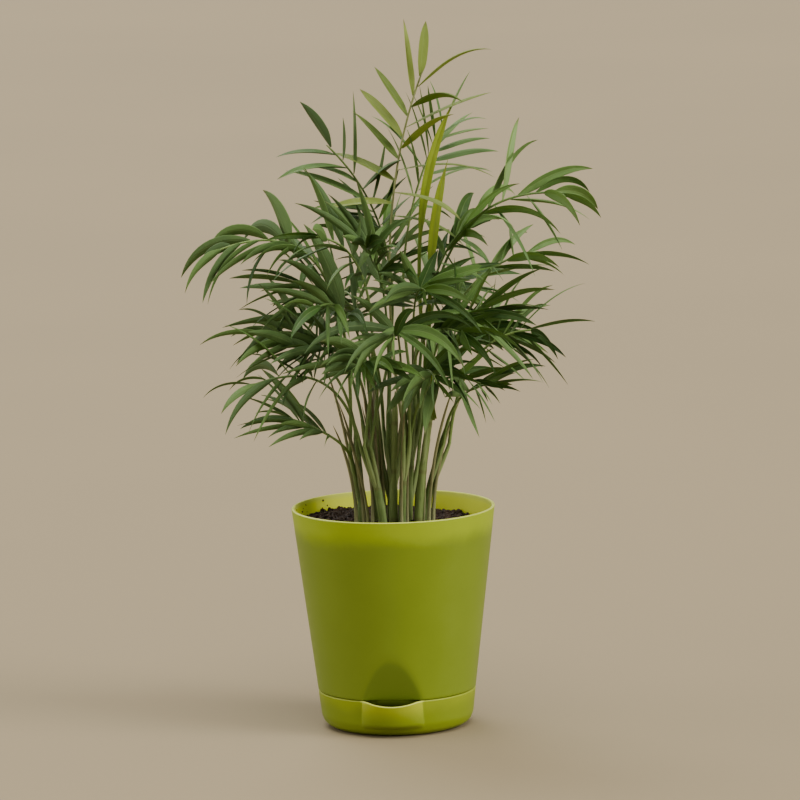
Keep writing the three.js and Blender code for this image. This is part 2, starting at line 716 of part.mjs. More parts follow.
/** The first leaflet that finds room, or none where the clump is too dense. */
function placeLeaflet(frond, stalk, plan) {
  for (const length of LENGTHS) {
    for (const lift of LIFTS) {
      for (const swing of SWINGS) {
        const stations = growLeaflet(frond, stalk, plan, { length, lift, swing });
        const points = stripPoints(stations);
        const free = Math.floor(points.length * ROOT_FREE);
        const rooted = room.isFree(points.slice(0, free), [frond.name]);
        if (rooted && room.isFree(points.slice(free))) {
          room.take(points, frond.name);
          return stations;
        }
      }
    }
  }
  return null;
}

/** Draws a leaflet out of the rachis, between two of its rings. */
function drawLeaflet(skin, back, front, side, stations) {
  const [a, b] = side > 0 ? [3, 0] : [1, 2];
  let below = [back[a], back[b], front[b], front[a]];
  stations.slice(1, -1).forEach(({ middle, across, upper }) => {
    const corner = (x, y) =>
      middle.clone().addScaledVector(across, x).addScaledVector(upper, (y * side * BLADE_THICKNESS) / 2);
    const ring = skin.ring([corner(-1, -1), corner(-1, 1), corner(1, 1), corner(1, -1)]);
    skin.bridge(below, ring);
    below = ring;
  });
  skin.point(below, stations.at(-1).middle);
}

/** A whole frond: petiole, rachis and leaflets in one skin. */
function frondShape(frond, number, stalk) {
  const skin = new Skin();
  const halfAt = petioleHalf(frond);
  const ringAt = (at) => stalkRing(skin, stalk, at, frond.roll, halfAt(at), halfAt(at));
  let below = ringAt(0);
  skin.close(below, true);
  for (let i = 1; i <= PETIOLE_RINGS; i += 1) {
    const ring = ringAt((frond.bare * i) / PETIOLE_RINGS);
    skin.bridge(below, ring);
    below = ring;
  }
  for (let i = 0; i < frond.leaves; i += 1) {
    const plan = leafletPlan(frond, number, i);
    const stations = placeLeaflet(frond, stalk, plan);
    const ring = ringAt(plan.end);
    skin.bridge(below, ring, stations ? [plan.side > 0 ? 3 : 1] : []);
    if (stations) drawLeaflet(skin, below, ring, plan.side, stations);
    below = ring;
  }
  skin.close(below);
  return skin.geometry();
}

const SPEAR_RINGS = [0, 0.15, 0.3, 0.45, 0.58, 0.72, 0.86];
const SPEAR_OPENS = 0.4; // where the folded blade begins on its stalk

/** Half the width of a spear: a stalk, then a long narrow blade. */
const spearHalf = (spear) => (at) => {
  if (at < SPEAR_OPENS) return PETIOLE_HALF;
  const blade = (at - SPEAR_OPENS) / (1 - SPEAR_OPENS);
  return lerp(PETIOLE_HALF, spear.wide / 2, Math.sin(Math.PI * Math.sqrt(blade)));
};

/** A spear: a closed narrow blade that ends in a point. */
function spearShape(spear, stalk) {
  const skin = new Skin();
  const halfAt = spearHalf(spear);
  let below = null;
  SPEAR_RINGS.forEach((at) => {
    const high = Math.min(halfAt(at), PETIOLE_HALF);
    const ring = stalkRing(skin, stalk, at, 0, halfAt(at), high);
    if (below) skin.bridge(below, ring);
    else skin.close(ring, true);
    below = ring;
  });
  skin.point(below, stalk.curve.getPoint(1));
  return skin.geometry();
}

/** Stems, spears and fronds.  All stalks are grown first, then the leaflets. */
function plant() {
  const rods = [];
  Object.entries(SEEDLINGS).forEach(([name, seedling]) => {
    const material = leafMaterial(STEM_GREEN);
    piece(`stem_${name}`, stemShape(seedling, 0), material);
    const rod = rodAlong(stemLine(seedling), (at) => lerp(STEM_RADIUS, STEM_TOP_RADIUS, at));
    rods.push(rod);
    room.take(rodPoints(rod.middles, STEM_TOP_RADIUS), name);
  });
  const stand = (leaf, radiusAt) => {
    const stalk = growStalk(leaf, (at) => radiusAt(at) * Math.SQRT2, rods);
    rods.push(stalk.rod);
    room.take(rodPoints(stalk.curve.getPoints(4 * STALK_STEPS), PETIOLE_HALF), leaf.name);
    return stalk;
  };
  const spears = SPEARS.map((spear) => stand(spear, spearHalf(spear)));
  const stalks = FRONDS.map((frond) => stand(frond, petioleHalf(frond)));
  SPEARS.forEach((spear, i) => {
    piece(spear.name, spearShape(spear, spears[i]), leafMaterial(SPEAR_GREEN));
  });
  FRONDS.forEach((frond, i) => {
    const colour = i === 0 ? YOUNG_LEAF : LEAF_GREENS[i % LEAF_GREENS.length];
    piece(`frond_${frond.name}`, frondShape(frond, i, stalks[i]), leafMaterial(colour));
  });
}

reservoirBase();
pot();
piece('wick', wickShape(0), new THREE.MeshStandardMaterial({ color: FIBRE, roughness: 0.9 }));
soil();
plant();

export default group;
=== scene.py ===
"""Looks of a young parlour palm in a small self-watering pot.

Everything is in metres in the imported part's frame: +Z up, the origin under the
pot's middle, -Y in front.  The plant's own measures are in millimetres, as they
are drawn for the part.  Each stalk is matched to the corners of its packed
frond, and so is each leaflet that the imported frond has.  The leaflets then grow
from there with a bow, a turn and a twist of their own.
"""

import logging
import math
from dataclasses import dataclass, field, replace
from enum import Enum
from typing import Iterable, Optional, Sequence, Union

import bpy
import numpy as np
from mathutils import Matrix, Vector


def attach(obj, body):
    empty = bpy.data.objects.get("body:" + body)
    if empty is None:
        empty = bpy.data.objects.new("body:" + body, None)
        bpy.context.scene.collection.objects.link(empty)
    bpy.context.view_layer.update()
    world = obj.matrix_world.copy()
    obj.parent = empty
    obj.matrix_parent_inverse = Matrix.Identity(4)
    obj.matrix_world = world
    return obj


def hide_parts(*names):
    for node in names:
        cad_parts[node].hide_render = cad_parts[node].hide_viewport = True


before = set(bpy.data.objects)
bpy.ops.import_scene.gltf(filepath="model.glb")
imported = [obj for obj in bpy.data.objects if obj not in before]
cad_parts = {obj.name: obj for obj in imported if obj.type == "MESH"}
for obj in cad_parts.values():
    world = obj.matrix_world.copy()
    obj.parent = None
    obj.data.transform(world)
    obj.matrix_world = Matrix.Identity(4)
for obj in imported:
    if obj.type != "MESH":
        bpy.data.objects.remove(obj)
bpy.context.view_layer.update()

LOG = logging.getLogger("palm")
MM = 0.001
BODY = "root"
UP = np.array([0.0, 0.0, 1.0])

Colour = tuple[float, float, float]
Socket = bpy.types.NodeSocket
Amount = Union[float, np.ndarray]
NUMBER_SOCKETS = {float: "NodeSocketFloat", int: "NodeSocketInt"}
Value = Union[Socket, float, int, bool, str, Sequence[float], bpy.types.ID]

# ---- the part's own sizes
POT_HEIGHT = 114.0
RIM_RADIUS = 52.5
SEAM_RADIUS = 40.8
WALL = 1.6
RIM_ROUND = 0.6
FLOOR_UNDER = 12.0
POT_FLOOR = 2.0
SKIRT_RADIUS = 37.99
DRAIN_HOLES = 6
DRAIN_RADIUS = 2.2
DRAIN_CIRCLE = 22.0
FACET_INSET = 3.2
FACET_LEAN = 15.0
FRONT = math.radians(-94.0)  # the way that the facet and the spout look
BASE_HEIGHT = 19.0
BASE_FOOT_RADIUS = 38.6
BASE_ROUND = 7.0
BASE_FLOOR = 1.8
SPOUT_HALF_WIDTH = 16.5
SPOUT_REACH = 4.6
SPOUT_BACK = 34.0
SPOUT_FOOT = 5.0
SPOUT_TAPER = 0.74
LIP_DIP = 1.7
LIP_DIP_HALF_WIDTH = 13.0
GAP = 0.3
SEAM = BASE_HEIGHT + GAP
FLOOR_TOP = FLOOR_UNDER + POT_FLOOR
SOIL_LEVEL = 104.0
HEAP = 3.0
WICK_RADIUS = 3.2
WICK_HOLE_CLEARANCE = 0.5
WICK_TOP = 52.0
STEM_RADIUS = 2.7
STEM_TOP_RADIUS = 1.7
STEM_STEP = 6.9
STEM_BURIED = 22.0
PETIOLE_HALF = 0.95
RACHIS_HALF = 0.55


# ---- small maths
def lerp(a: Amount, b: Amount, t: Amount) -> Amount:
    """Returns what lies `t` of the way from `a` to `b`."""
    return a + (b - a) * t


def unit(v: np.ndarray) -> np.ndarray:
    """Returns `v`, or each of its rows, at length one."""
    return v / np.maximum(np.linalg.norm(v, axis=-1, keepdims=True), 1e-12)


def smooth_step(low: float, high: float, x: np.ndarray) -> np.ndarray:
    """Returns 0 below `low`, 1 above `high` and a smooth rise between."""
    t = np.clip((x - low) / (high - low), 0.0, 1.0)
    return t * t * (3.0 - 2.0 * t)


def turn_about(v: np.ndarray, axis: np.ndarray, angle: float) -> np.ndarray:
    """Turns a vector about a unit axis.

    Args:
        v: the vector.
        axis: the unit axis.
        angle: in radians.

    Returns:
        The turned vector.
    """
    c, s = math.cos(angle), math.sin(angle)
    return v * c + np.cross(axis, v) * s + axis * np.dot(axis, v) * (1.0 - c)


def wobble(seed: float) -> float:
    """Returns a repeatable number between -0.5 and 0.5 for the seed."""
    return (seed * 0.618034) % 1.0 - 0.5


def ripple(x: np.ndarray, y: np.ndarray, z: np.ndarray, scale: float) -> np.ndarray:
    """Returns a repeatable lumpy pattern between about -1 and 1.

    Args:
        x, y, z: where it is wanted, in millimetres.
        scale: the rough size of a lump, in millimetres.

    Returns:
        The pattern's value at each place.
    """
    total = np.zeros_like(x)
    for k, (a, b, c) in enumerate(((1.0, 0.7, 0.4), (-0.6, 1.1, 0.5), (0.3, -0.9, 1.2))):
        near = (2.0 ** k) * 2.0 * math.pi / (3.0 * scale)
        total += np.sin(near * (a * x + b * y + c * z) + 1.7 * k) * np.cos(
            near * (b * x - a * y + 0.6 * z) + 0.9 * k
        ) / (1.6 ** k)
    return total / 1.8


# ---- the tools
class Tree:
    """A node tree that is filled in few words."""

    def __init__(self, tree: bpy.types.NodeTree) -> None:
        """Keeps the tree that nodes are added to."""
        self.tree = tree

    def add(self, kind: str, wires: Optional[dict] = None, **settings: object) -> bpy.types.Node:
        """Adds a node.

        Args:
            kind: the node's type name.
            wires: for each input, by name or number, a socket to join or a value.
            settings: the node's own options.

        Returns:
            The new node.
        """
        node = self.tree.nodes.new(kind)
        for name, setting in settings.items():
            setattr(node, name, setting)
        for key, value in (wires or {}).items():
            if isinstance(value, Socket):
                self.join(value, node, key)
            else:
                node.inputs[key].default_value = value
        return node

    def math(self, operation: str, a: Value, b: Value = 0.0, c: Value = 0.0) -> Socket:
        """Returns the result of a Math node."""
        return self.add("ShaderNodeMath", {0: a, 1: b, 2: c}, operation=operation).outputs[0]

    def between(self, x: Value, low: float, high: float) -> Socket:
        """Returns 0 to 1 as `x` goes smoothly from `low` to `high`.

        Args:
            x: what is read.
            low: where the result is 0.
            high: where it is 1; it may lie below `low`.

        Returns:
            The smooth share.
        """
        wires = {"Value": x, "From Min": low, "From Max": high}
        node = self.add("ShaderNodeMapRange", wires, interpolation_type="SMOOTHSTEP")
        return node.outputs[0]

    def blend(self, share: Value, a: Value, b: Value, mode: str = "MIX") -> Socket:
        """Returns two colours mixed by `share`.

        Args:
            share: how much of `b` is taken.
            a: the first colour.
            b: the second colour.
            mode: how they are mixed.

        Returns:
            The mixed colour.
        """
        a, b = (colour if isinstance(colour, Socket) else (*colour, 1.0) for colour in (a, b))
        return self.add("ShaderNodeMix", {0: share, 6: a, 7: b}, data_type="RGBA", blend_type=mode).outputs[2]

    def noise(self, where: Socket, scale: float, detail: float = 3.0) -> Socket:
        """Returns a noise pattern between 0 and 1."""
        wires = {"Vector": where, "Scale": scale, "Detail": detail}
        return self.add("ShaderNodeTexNoise", wires).outputs["Fac"]

    def attribute(self, name: str) -> Socket:
        """Returns the value that the piece's mesh keeps under this name."""
        return self.add("ShaderNodeAttribute", attribute_name=name).outputs["Fac"]

    def join(self, made: Socket, node: bpy.types.Node, name: Union[str, int]) -> None:
        """Joins a socket to a node's input."""
        self.tree.links.new(made, node.inputs[name])


def new_group(name: str, kind: str, ins: dict, outs: dict) -> tuple[Tree, bpy.types.Node, bpy.types.Node]:
    """Starts a node group.

    Args:
        name: the group's name.
        kind: its tree type.
        ins: the inputs' names, each with its number, or its socket type.
        outs: the outputs' names, each with its socket type.

    Returns:
        The tree, its input node and its output node.
    """
    group = bpy.data.node_groups.new(name, kind)
    for label, value in ins.items():
        kind_of = value if isinstance(value, str) else NUMBER_SOCKETS[type(value)]
        made = group.interface.new_socket(label, in_out="INPUT", socket_type=kind_of)
        if not isinstance(value, str):
            made.default_value = value
    for label, socket_type in outs.items():
        group.interface.new_socket(label, in_out="OUTPUT", socket_type=socket_type)
    tree = Tree(group)
    return tree, tree.add("NodeGroupInput"), tree.add("NodeGroupOutput")


def finished(tree: Tree, inside: bpy.types.Node, outside: bpy.types.Node, shape: Socket) -> bpy.types.NodeTree:
    """Gives a geometry tree's shape its material and puts it out.

    Args:
        tree: the tree.
        inside: its input node.
        outside: its output node.
        shape: the shape that it has made.

    Returns:
        The geometry tree.
    """
    dressed = tree.add("GeometryNodeSetMaterial", {"Geometry": shape, "Material": inside.outputs["Material"]})
    tree.join(dressed.outputs[0], outside, 0)
    return tree.tree


def mesh_object(name: str, points: np.ndarray, faces: Iterable, edges: Iterable = ()) -> bpy.types.Object:
    """Makes a mesh object at the origin.

    Args:
        name: the piece's name.
        points: its corners, in millimetres.
        faces: its faces.
        edges: its loose edges.

    Returns:
        The new object, linked to the scene.
    """
    mesh = bpy.data.meshes.new(name)
    mesh.from_pydata((np.asarray(points) * MM).tolist(), list(edges), list(faces))
    mesh.update()
    made = bpy.data.objects.new(name, mesh)
    bpy.context.scene.collection.objects.link(made)
    return made


def shade_smooth(made: bpy.types.Object, angle: float = 35.0) -> None:
    """Shades a mesh smooth, apart from edges sharper than `angle` degrees."""
    made.data.shade_smooth()
    made.data.set_sharp_from_angle(angle=math.radians(angle))


def volume_of(mesh: bpy.types.Mesh) -> float:
    """Returns the space that a closed mesh's faces hold; below zero if they face in.

    Args:
        mesh: the closed mesh.

    Returns:
        The volume, in cubic metres.
    """
    mesh.calc_loop_triangles()
    corners = np.zeros(len(mesh.vertices) * 3)
    mesh.vertices.foreach_get("co", corners)
    picks = np.zeros(len(mesh.loop_triangles) * 3, dtype=np.int32)
    mesh.loop_triangles.foreach_get("vertices", picks)
    a, b, c = corners.reshape(-1, 3)[picks.reshape(-1, 3)].transpose(1, 0, 2)
    return float(np.einsum("ij,ij->i", a, np.cross(b, c)).sum() / 6.0)


def face_out(made: bpy.types.Object) -> None:
    """Turns a closed mesh's faces outwards."""
    if volume_of(made.data) < 0:
        made.data.flip_normals()


def corners_and_normals(made: bpy.types.Object) -> tuple[np.ndarray, np.ndarray]:
    """Returns a mesh's corners, in millimetres, and the normal at each.

    Args:
        made: the piece.

    Returns:
        The corners and the normals.
    """
    mesh = made.data
    corners = np.zeros(len(mesh.vertices) * 3)
    mesh.vertices.foreach_get("co", corners)
    normals = np.zeros(len(mesh.vertices) * 3)
    mesh.vertex_normals.foreach_get("vector", normals)
    return corners.reshape(-1, 3) / MM, normals.reshape(-1, 3)


def keep_mark(made: bpy.types.Object, name: str, values: np.ndarray) -> None:
    """Keeps a number for each corner of a mesh, for its material to read."""
    values = np.asarray(values, dtype=np.float32)
    made.data.attributes.new(name, "FLOAT", "POINT").data.foreach_set("value", values)


def grown_by(source: bpy.types.Object, group: bpy.types.NodeTree, values: dict, name: str) -> bpy.types.Object:
    """Runs a geometry tree on a mesh and keeps the result as a plain mesh.

    Args:
        source: the object that the tree starts from; it is removed.
        group: the geometry tree.
        values: its inputs, by name.
        name: the result's name.

    Returns:
        The new object, without the modifier.
    """
    modifier = source.modifiers.new(group.name, "NODES")
    modifier.node_group = group
    for item in group.interface.items_tree:
        if item.item_type == "SOCKET" and item.in_out == "INPUT" and item.name in values:
            modifier[item.identifier] = values[item.name]
    depsgraph = bpy.context.evaluated_depsgraph_get()
    mesh = bpy.data.meshes.new_from_object(source.evaluated_get(depsgraph))
    mesh.name = name
    made = bpy.data.objects.new(name, mesh)
    bpy.context.scene.collection.objects.link(made)
    bpy.data.objects.remove(source)
    return made


def joined(name: str, parts: Sequence[bpy.types.Object]) -> bpy.types.Object:
    """Joins several objects in one and names it.

    Args:
        name: the whole's name.
        parts: the objects.

    Returns:
        The joined object.
    """
    with bpy.context.temp_override(active_object=parts[0], selected_editable_objects=list(parts)):
        bpy.ops.object.join()
    parts[0].name = name
    parts[0].data.name = name
    return parts[0]


def hand_over(made: bpy.types.Object, slot: str, *nodes: str) -> bpy.types.Object:
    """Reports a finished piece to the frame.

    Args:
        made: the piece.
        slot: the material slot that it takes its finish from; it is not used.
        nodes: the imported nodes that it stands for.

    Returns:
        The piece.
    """
    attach(made, BODY)
    if nodes:
        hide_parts(*nodes)
    LOG.info("%s: %d faces, for %s", made.name, len(made.data.polygons), ", ".join(nodes) or "itself")
    return made


# ---- what more than one uses
def sweep_tree() -> bpy.types.NodeTree:
    """Makes the tree that sweeps a section along every line of a mesh.

    Each point of a line has its half width (`half`), its upper side (`upper`) and
    its place on the line (`along`).  The section is an oval of half width one,
    folded up along its middle by `Fold` and `Thickness` deep.  `Pleats` ripples it.

    Returns:
        The geometry tree.
    """
    tree, inside, outside = new_group(
        "swept section",
        "GeometryNodeTree",
        {
            "Geometry": "NodeSocketGeometry",
            "Sides": 16,
            "Fold": 0.3,
            "Thickness": 0.08,
            "Pleats": 0.0,
            "Material": "NodeSocketMaterial",
        },
        {"Geometry": "NodeSocketGeometry"},
    )
    half = tree.add("GeometryNodeInputNamedAttribute", {"Name": "half"})
    upper = tree.add("GeometryNodeInputNamedAttribute", {"Name": "upper"}, data_type="FLOAT_VECTOR")
    lines = tree.add("GeometryNodeMeshToCurve", {0: inside.outputs["Geometry"]})
    wires = {"Curve": lines.outputs[0], "Normal": upper.outputs["Attribute"]}
    lines = tree.add("GeometryNodeSetCurveNormal", wires, mode="FREE")

    ring = tree.add("GeometryNodeCurvePrimitiveCircle", {"Resolution": inside.outputs["Sides"]})
    place = tree.add("ShaderNodeSeparateXYZ", {0: tree.add("GeometryNodeInputPosition").outputs[0]})
    x, y = place.outputs["X"], place.outputs["Y"]
    wires = {"Geometry": ring.outputs[0], "Name": "across", "Value": x}
    marked = tree.add("GeometryNodeStoreNamedAttribute", wires)
    wires = {"Geometry": marked.outputs[0], "Name": "topside", "Value": tree.math("GREATER_THAN", y, 0.001)}
    marked = tree.add("GeometryNodeStoreNamedAttribute", wires)
    folded = tree.math("MULTIPLY", tree.math("ABSOLUTE", x), inside.outputs["Fold"])
    pleated = tree.math("COSINE", tree.math("MULTIPLY", x, 19.0))
    deep = tree.math("MULTIPLY_ADD", y, inside.outputs["Thickness"], folded)
    deep = tree.math("MULTIPLY_ADD", pleated, inside.outputs["Pleats"], deep)
    section = tree.add("ShaderNodeCombineXYZ", {"X": x, "Y": deep})
    wires = {"Geometry": marked.outputs[0], "Position": section.outputs[0]}
    section = tree.add("GeometryNodeSetPosition", wires)

    wires = {
        "Curve": lines.outputs[0],
        "Profile Curve": section.outputs[0],
        "Scale": half.outputs["Attribute"],
        "Fill Caps": True,
    }
    swept = tree.add("GeometryNodeCurveToMesh", wires)
    smooth = tree.add("GeometryNodeSetShadeSmooth", {"Geometry": swept.outputs[0], "Shade Smooth": True})
    real = tree.add("GeometryNodeRealizeInstances", {"Geometry": smooth.outputs[0]})
    return finished(tree, inside, outside, real.outputs[0])


def scatter_tree() -> bpy.types.NodeTree:
    """Makes the tree that strews lumpy crumbs over a surface.

    Returns:
        The geometry tree.
    """
    tree, inside, outside = new_group(
        "strewn crumbs",
        "GeometryNodeTree",
        {
            "Geometry": "NodeSocketGeometry",
            "Density": 1e5,
            "Smallest": 0.0004,
            "Largest": 0.0014,
            "Facets": 2,
            "Lumps": 0.0004,
            "Seed": 1,
            "Material": "NodeSocketMaterial",
        },
        {"Geometry": "NodeSocketGeometry"},
    )
    seed = inside.outputs["Seed"]
    wires = {"Mesh": inside.outputs["Geometry"], "Density": inside.outputs["Density"], "Seed": seed}
    spots = tree.add("GeometryNodeDistributePointsOnFaces", wires, distribute_method="RANDOM")
    crumb = tree.add("GeometryNodeMeshIcoSphere", {"Radius": 1.0, "Subdivisions": inside.outputs["Facets"]})
    size = tree.add("FunctionNodeRandomValue", {"Seed": seed}, data_type="FLOAT")
    for low_or_high, name in ((2, "Smallest"), (3, "Largest")):
        tree.join(inside.outputs[name], size, low_or_high)
    squeeze = tree.add("FunctionNodeRandomValue", {"Seed": 7}, data_type="FLOAT_VECTOR")
    squeeze.inputs[0].default_value = (0.6, 0.6, 0.45)
    squeeze.inputs[1].default_value = (1.3, 1.1, 0.9)
    wires = {0: squeeze.outputs[0], "Scale": size.outputs[1]}
    scale = tree.add("ShaderNodeVectorMath", wires, operation="SCALE")
    turned = tree.add("FunctionNodeRandomValue", {"Seed": 11}, data_type="FLOAT_VECTOR")
    turned.inputs[1].default_value = (math.tau, math.tau, math.tau)
    wires = {
        "Points": spots.outputs["Points"],
        "Instance": crumb.outputs["Mesh"],
        "Rotation": turned.outputs[0],
        "Scale": scale.outputs[0],
    }
    strewn = tree.add("GeometryNodeInstanceOnPoints", wires)
    real = tree.add("GeometryNodeRealizeInstances", {"Geometry": strewn.outputs[0]})
    here = tree.add("GeometryNodeInputPosition")
    lumps = tree.add("ShaderNodeTexNoise", {"Vector": here.outputs[0], "Scale": 1400.0, "Detail": 2.0})
    centred = tree.add("ShaderNodeVectorMath", {0: lumps.outputs["Color"], 1: (0.5,) * 3}, operation="SUBTRACT")
    wires = {0: centred.outputs[0], "Scale": inside.outputs["Lumps"]}
    offset = tree.add("ShaderNodeVectorMath", wires, operation="SCALE")
    moved = tree.add("GeometryNodeSetPosition", {"Geometry": real.outputs[0], "Offset": offset.outputs[0]})
    return finished(tree, inside, outside, moved.outputs[0])


def drill_tree() -> bpy.types.NodeTree:
    """Makes the tree that drills a ring of holes and a middle hole through a floor.

    Returns:
        The geometry tree.
    """
    tree, inside, outside = new_group(
        "drilled floor",
        "GeometryNodeTree",
        {
            "Geometry": "NodeSocketGeometry",
            "Holes": DRAIN_HOLES,
            "Hole Radius": DRAIN_RADIUS * MM,
            "Ring Radius": DRAIN_CIRCLE * MM,
            "Middle Radius": (WICK_RADIUS + WICK_HOLE_CLEARANCE) * MM,
            "Height": (FLOOR_UNDER + 0.5 * POT_FLOOR) * MM,
            "Material": "NodeSocketMaterial",
        },
        {"Geometry": "NodeSocketGeometry"},
    )
    deep = 4.0 * POT_FLOOR * MM
    wires = {"Vertices": 24, "Radius": inside.outputs["Hole Radius"], "Depth": deep}
    drill = tree.add("GeometryNodeMeshCylinder", wires)
    wires = {"Vertices": inside.outputs["Holes"], "Radius": inside.outputs["Ring Radius"]}
    ring = tree.add("GeometryNodeMeshCircle", wires)
    spots = tree.add("GeometryNodeMeshToPoints", {"Mesh": ring.outputs[0]})
    drills = tree.add("GeometryNodeInstanceOnPoints", {"Points": spots.outputs[0], "Instance": drill.outputs[0]})
    wires = {"Vertices": 32, "Radius": inside.outputs["Middle Radius"], "Depth": deep}
    middle = tree.add("GeometryNodeMeshCylinder", wires)
    both = tree.add("GeometryNodeJoinGeometry")
    tree.join(middle.outputs[0], both, 0)
    tree.join(drills.outputs[0], both, 0)
    raised = tree.add("ShaderNodeCombineXYZ", {"Z": inside.outputs["Height"]})
    lifted = tree.add("GeometryNodeTransform", {"Geometry": both.outputs[0], "Translation": raised.outputs[0]})
    whole = tree.add("GeometryNodeRealizeInstances", {"Geometry": lifted.outputs[0]})
    wires = {"Mesh 1": inside.outputs["Geometry"], "Mesh 2": whole.outputs[0]}
    cut = tree.add("GeometryNodeMeshBoolean", wires, operation="DIFFERENCE", solver="EXACT")
    return finished(tree, inside, outside, cut.outputs[0])


def mottle_group() -> bpy.types.NodeTree:
    """Makes the shader group of uneven tone: broad clouds with fine grain in them.

    Returns:
        The group, whose Tone is about 0 to 1 and whose Height is for a bump.
    """
    tree, inside, outside = new_group(
        "uneven tone",
        "ShaderNodeTree",
        {"Clouds": 60.0, "Grain": 900.0},
        {"Tone": "NodeSocketFloat", "Height": "NodeSocketFloat"},
    )
    where = tree.add("ShaderNodeTexCoord").outputs["Object"]
    clouds = tree.noise(where, 1.0)
    tree.join(inside.outputs["Clouds"], clouds.node, "Scale")
    grain = tree.noise(where, 1.0, 2.0)
    tree.join(inside.outputs["Grain"], grain.node, "Scale")
    tone = tree.math("MULTIPLY_ADD", grain, 0.3, tree.math("MULTIPLY", clouds, 0.7))
    tree.join(tone, outside, "Tone")
    tree.join(grain, outside, "Height")
    return tree.tree


def blade_group() -> bpy.types.NodeTree:
    """Makes the shader group of a leaf blade's marks, from the marks on its mesh.

    Returns:
        The group: masks for the midrib, the veins, the underside and the dry tip,
        and a Height for a bump.
    """
    tree, inside, outside = new_group(
        "blade marks",
        "ShaderNodeTree",
        {"Veins": 30.0, "Rib Width": 0.09},
        {name: "NodeSocketFloat" for name in ("Rib", "Vein", "Under", "Tip", "Height")},
    )
    across, along = tree.attribute("across"), tree.attribute("along")
    off = tree.math("ABSOLUTE", across)
    rib = tree.add("ShaderNodeMapRange", {"Value": off, "From Min": 0.0, "To Min": 1.0, "To Max": 0.0})
    rib.interpolation_type = "SMOOTHSTEP"
    tree.join(inside.outputs["Rib Width"], rib, "From Max")
    waves = tree.math("MULTIPLY", off, inside.outputs["Veins"])
    vein = tree.math("MULTIPLY_ADD", tree.math("COSINE", waves), 0.5, 0.5)
    vein = tree.math("POWER", vein, 3.0)
    under = tree.math("SUBTRACT", 1.0, tree.attribute("topside"))
    tip = tree.between(along, 0.86, 1.0)
    height = tree.math("MULTIPLY_ADD", rib.outputs[0], -1.0, tree.math("MULTIPLY", vein, 0.45))
    for name, socket in (("Rib", rib.outputs[0]), ("Vein", vein), ("Under", under), ("Tip", tip)):
        tree.join(socket, outside, name)
    tree.join(height, outside, "Height")
    return tree.tree


@dataclass(frozen=True)
class Workshop:
    """The trees and groups that the pieces share."""

    sweep: bpy.types.NodeTree
    scatter: bpy.types.NodeTree
    drill: bpy.types.NodeTree
    mottle: bpy.types.NodeTree
    blade: bpy.types.NodeTree

    @staticmethod
    def equipped() -> "Workshop":
        """Returns a workshop with every tree built once."""
        return Workshop(sweep_tree(), scatter_tree(), drill_tree(), mottle_group(), blade_group())


# ---- finishes
def new_material(name: str) -> tuple[bpy.types.Material, Tree, bpy.types.Node]:
    """Starts a material.

    Args:
        name: the material's name.

    Returns:
        The material, its tree and its Principled shader, which is its surface.
    """
    material = bpy.data.materials.new(name)
    material.use_nodes = True
    tree = Tree(material.node_tree)
    material.node_tree.nodes.clear()
    shader = tree.add("ShaderNodeBsdfPrincipled")
    tree.add("ShaderNodeOutputMaterial", {"Surface": shader.outputs[0]})
    return material, tree, shader


def let_light_through(tree: Tree, shader: bpy.types.Node, colour: Socket, share: float) -> None:
    """Mixes a translucent share into a material's surface.

    Args:
        tree: the material's tree.
        shader: its Principled shader.
        colour: the colour of the light that comes through.
        share: how much of the surface it is.
    """
    through = tree.add("ShaderNodeBsdfTranslucent", {"Color": colour})
    mixed = tree.add("ShaderNodeMixShader", {0: share, 1: shader.outputs[0], 2: through.outputs[0]})
    output = next(node for node in tree.tree.nodes if node.type == "OUTPUT_MATERIAL")
    tree.join(mixed.outputs[0], output, "Surface")


def bump(tree: Tree, height: Socket, strength: float, distance: float) -> Socket:
    """Returns the normal of a bump with this height."""
    wires = {"Height": height, "Strength": strength, "Distance": distance}
    return tree.add("ShaderNodeBump", wires).outputs[0]


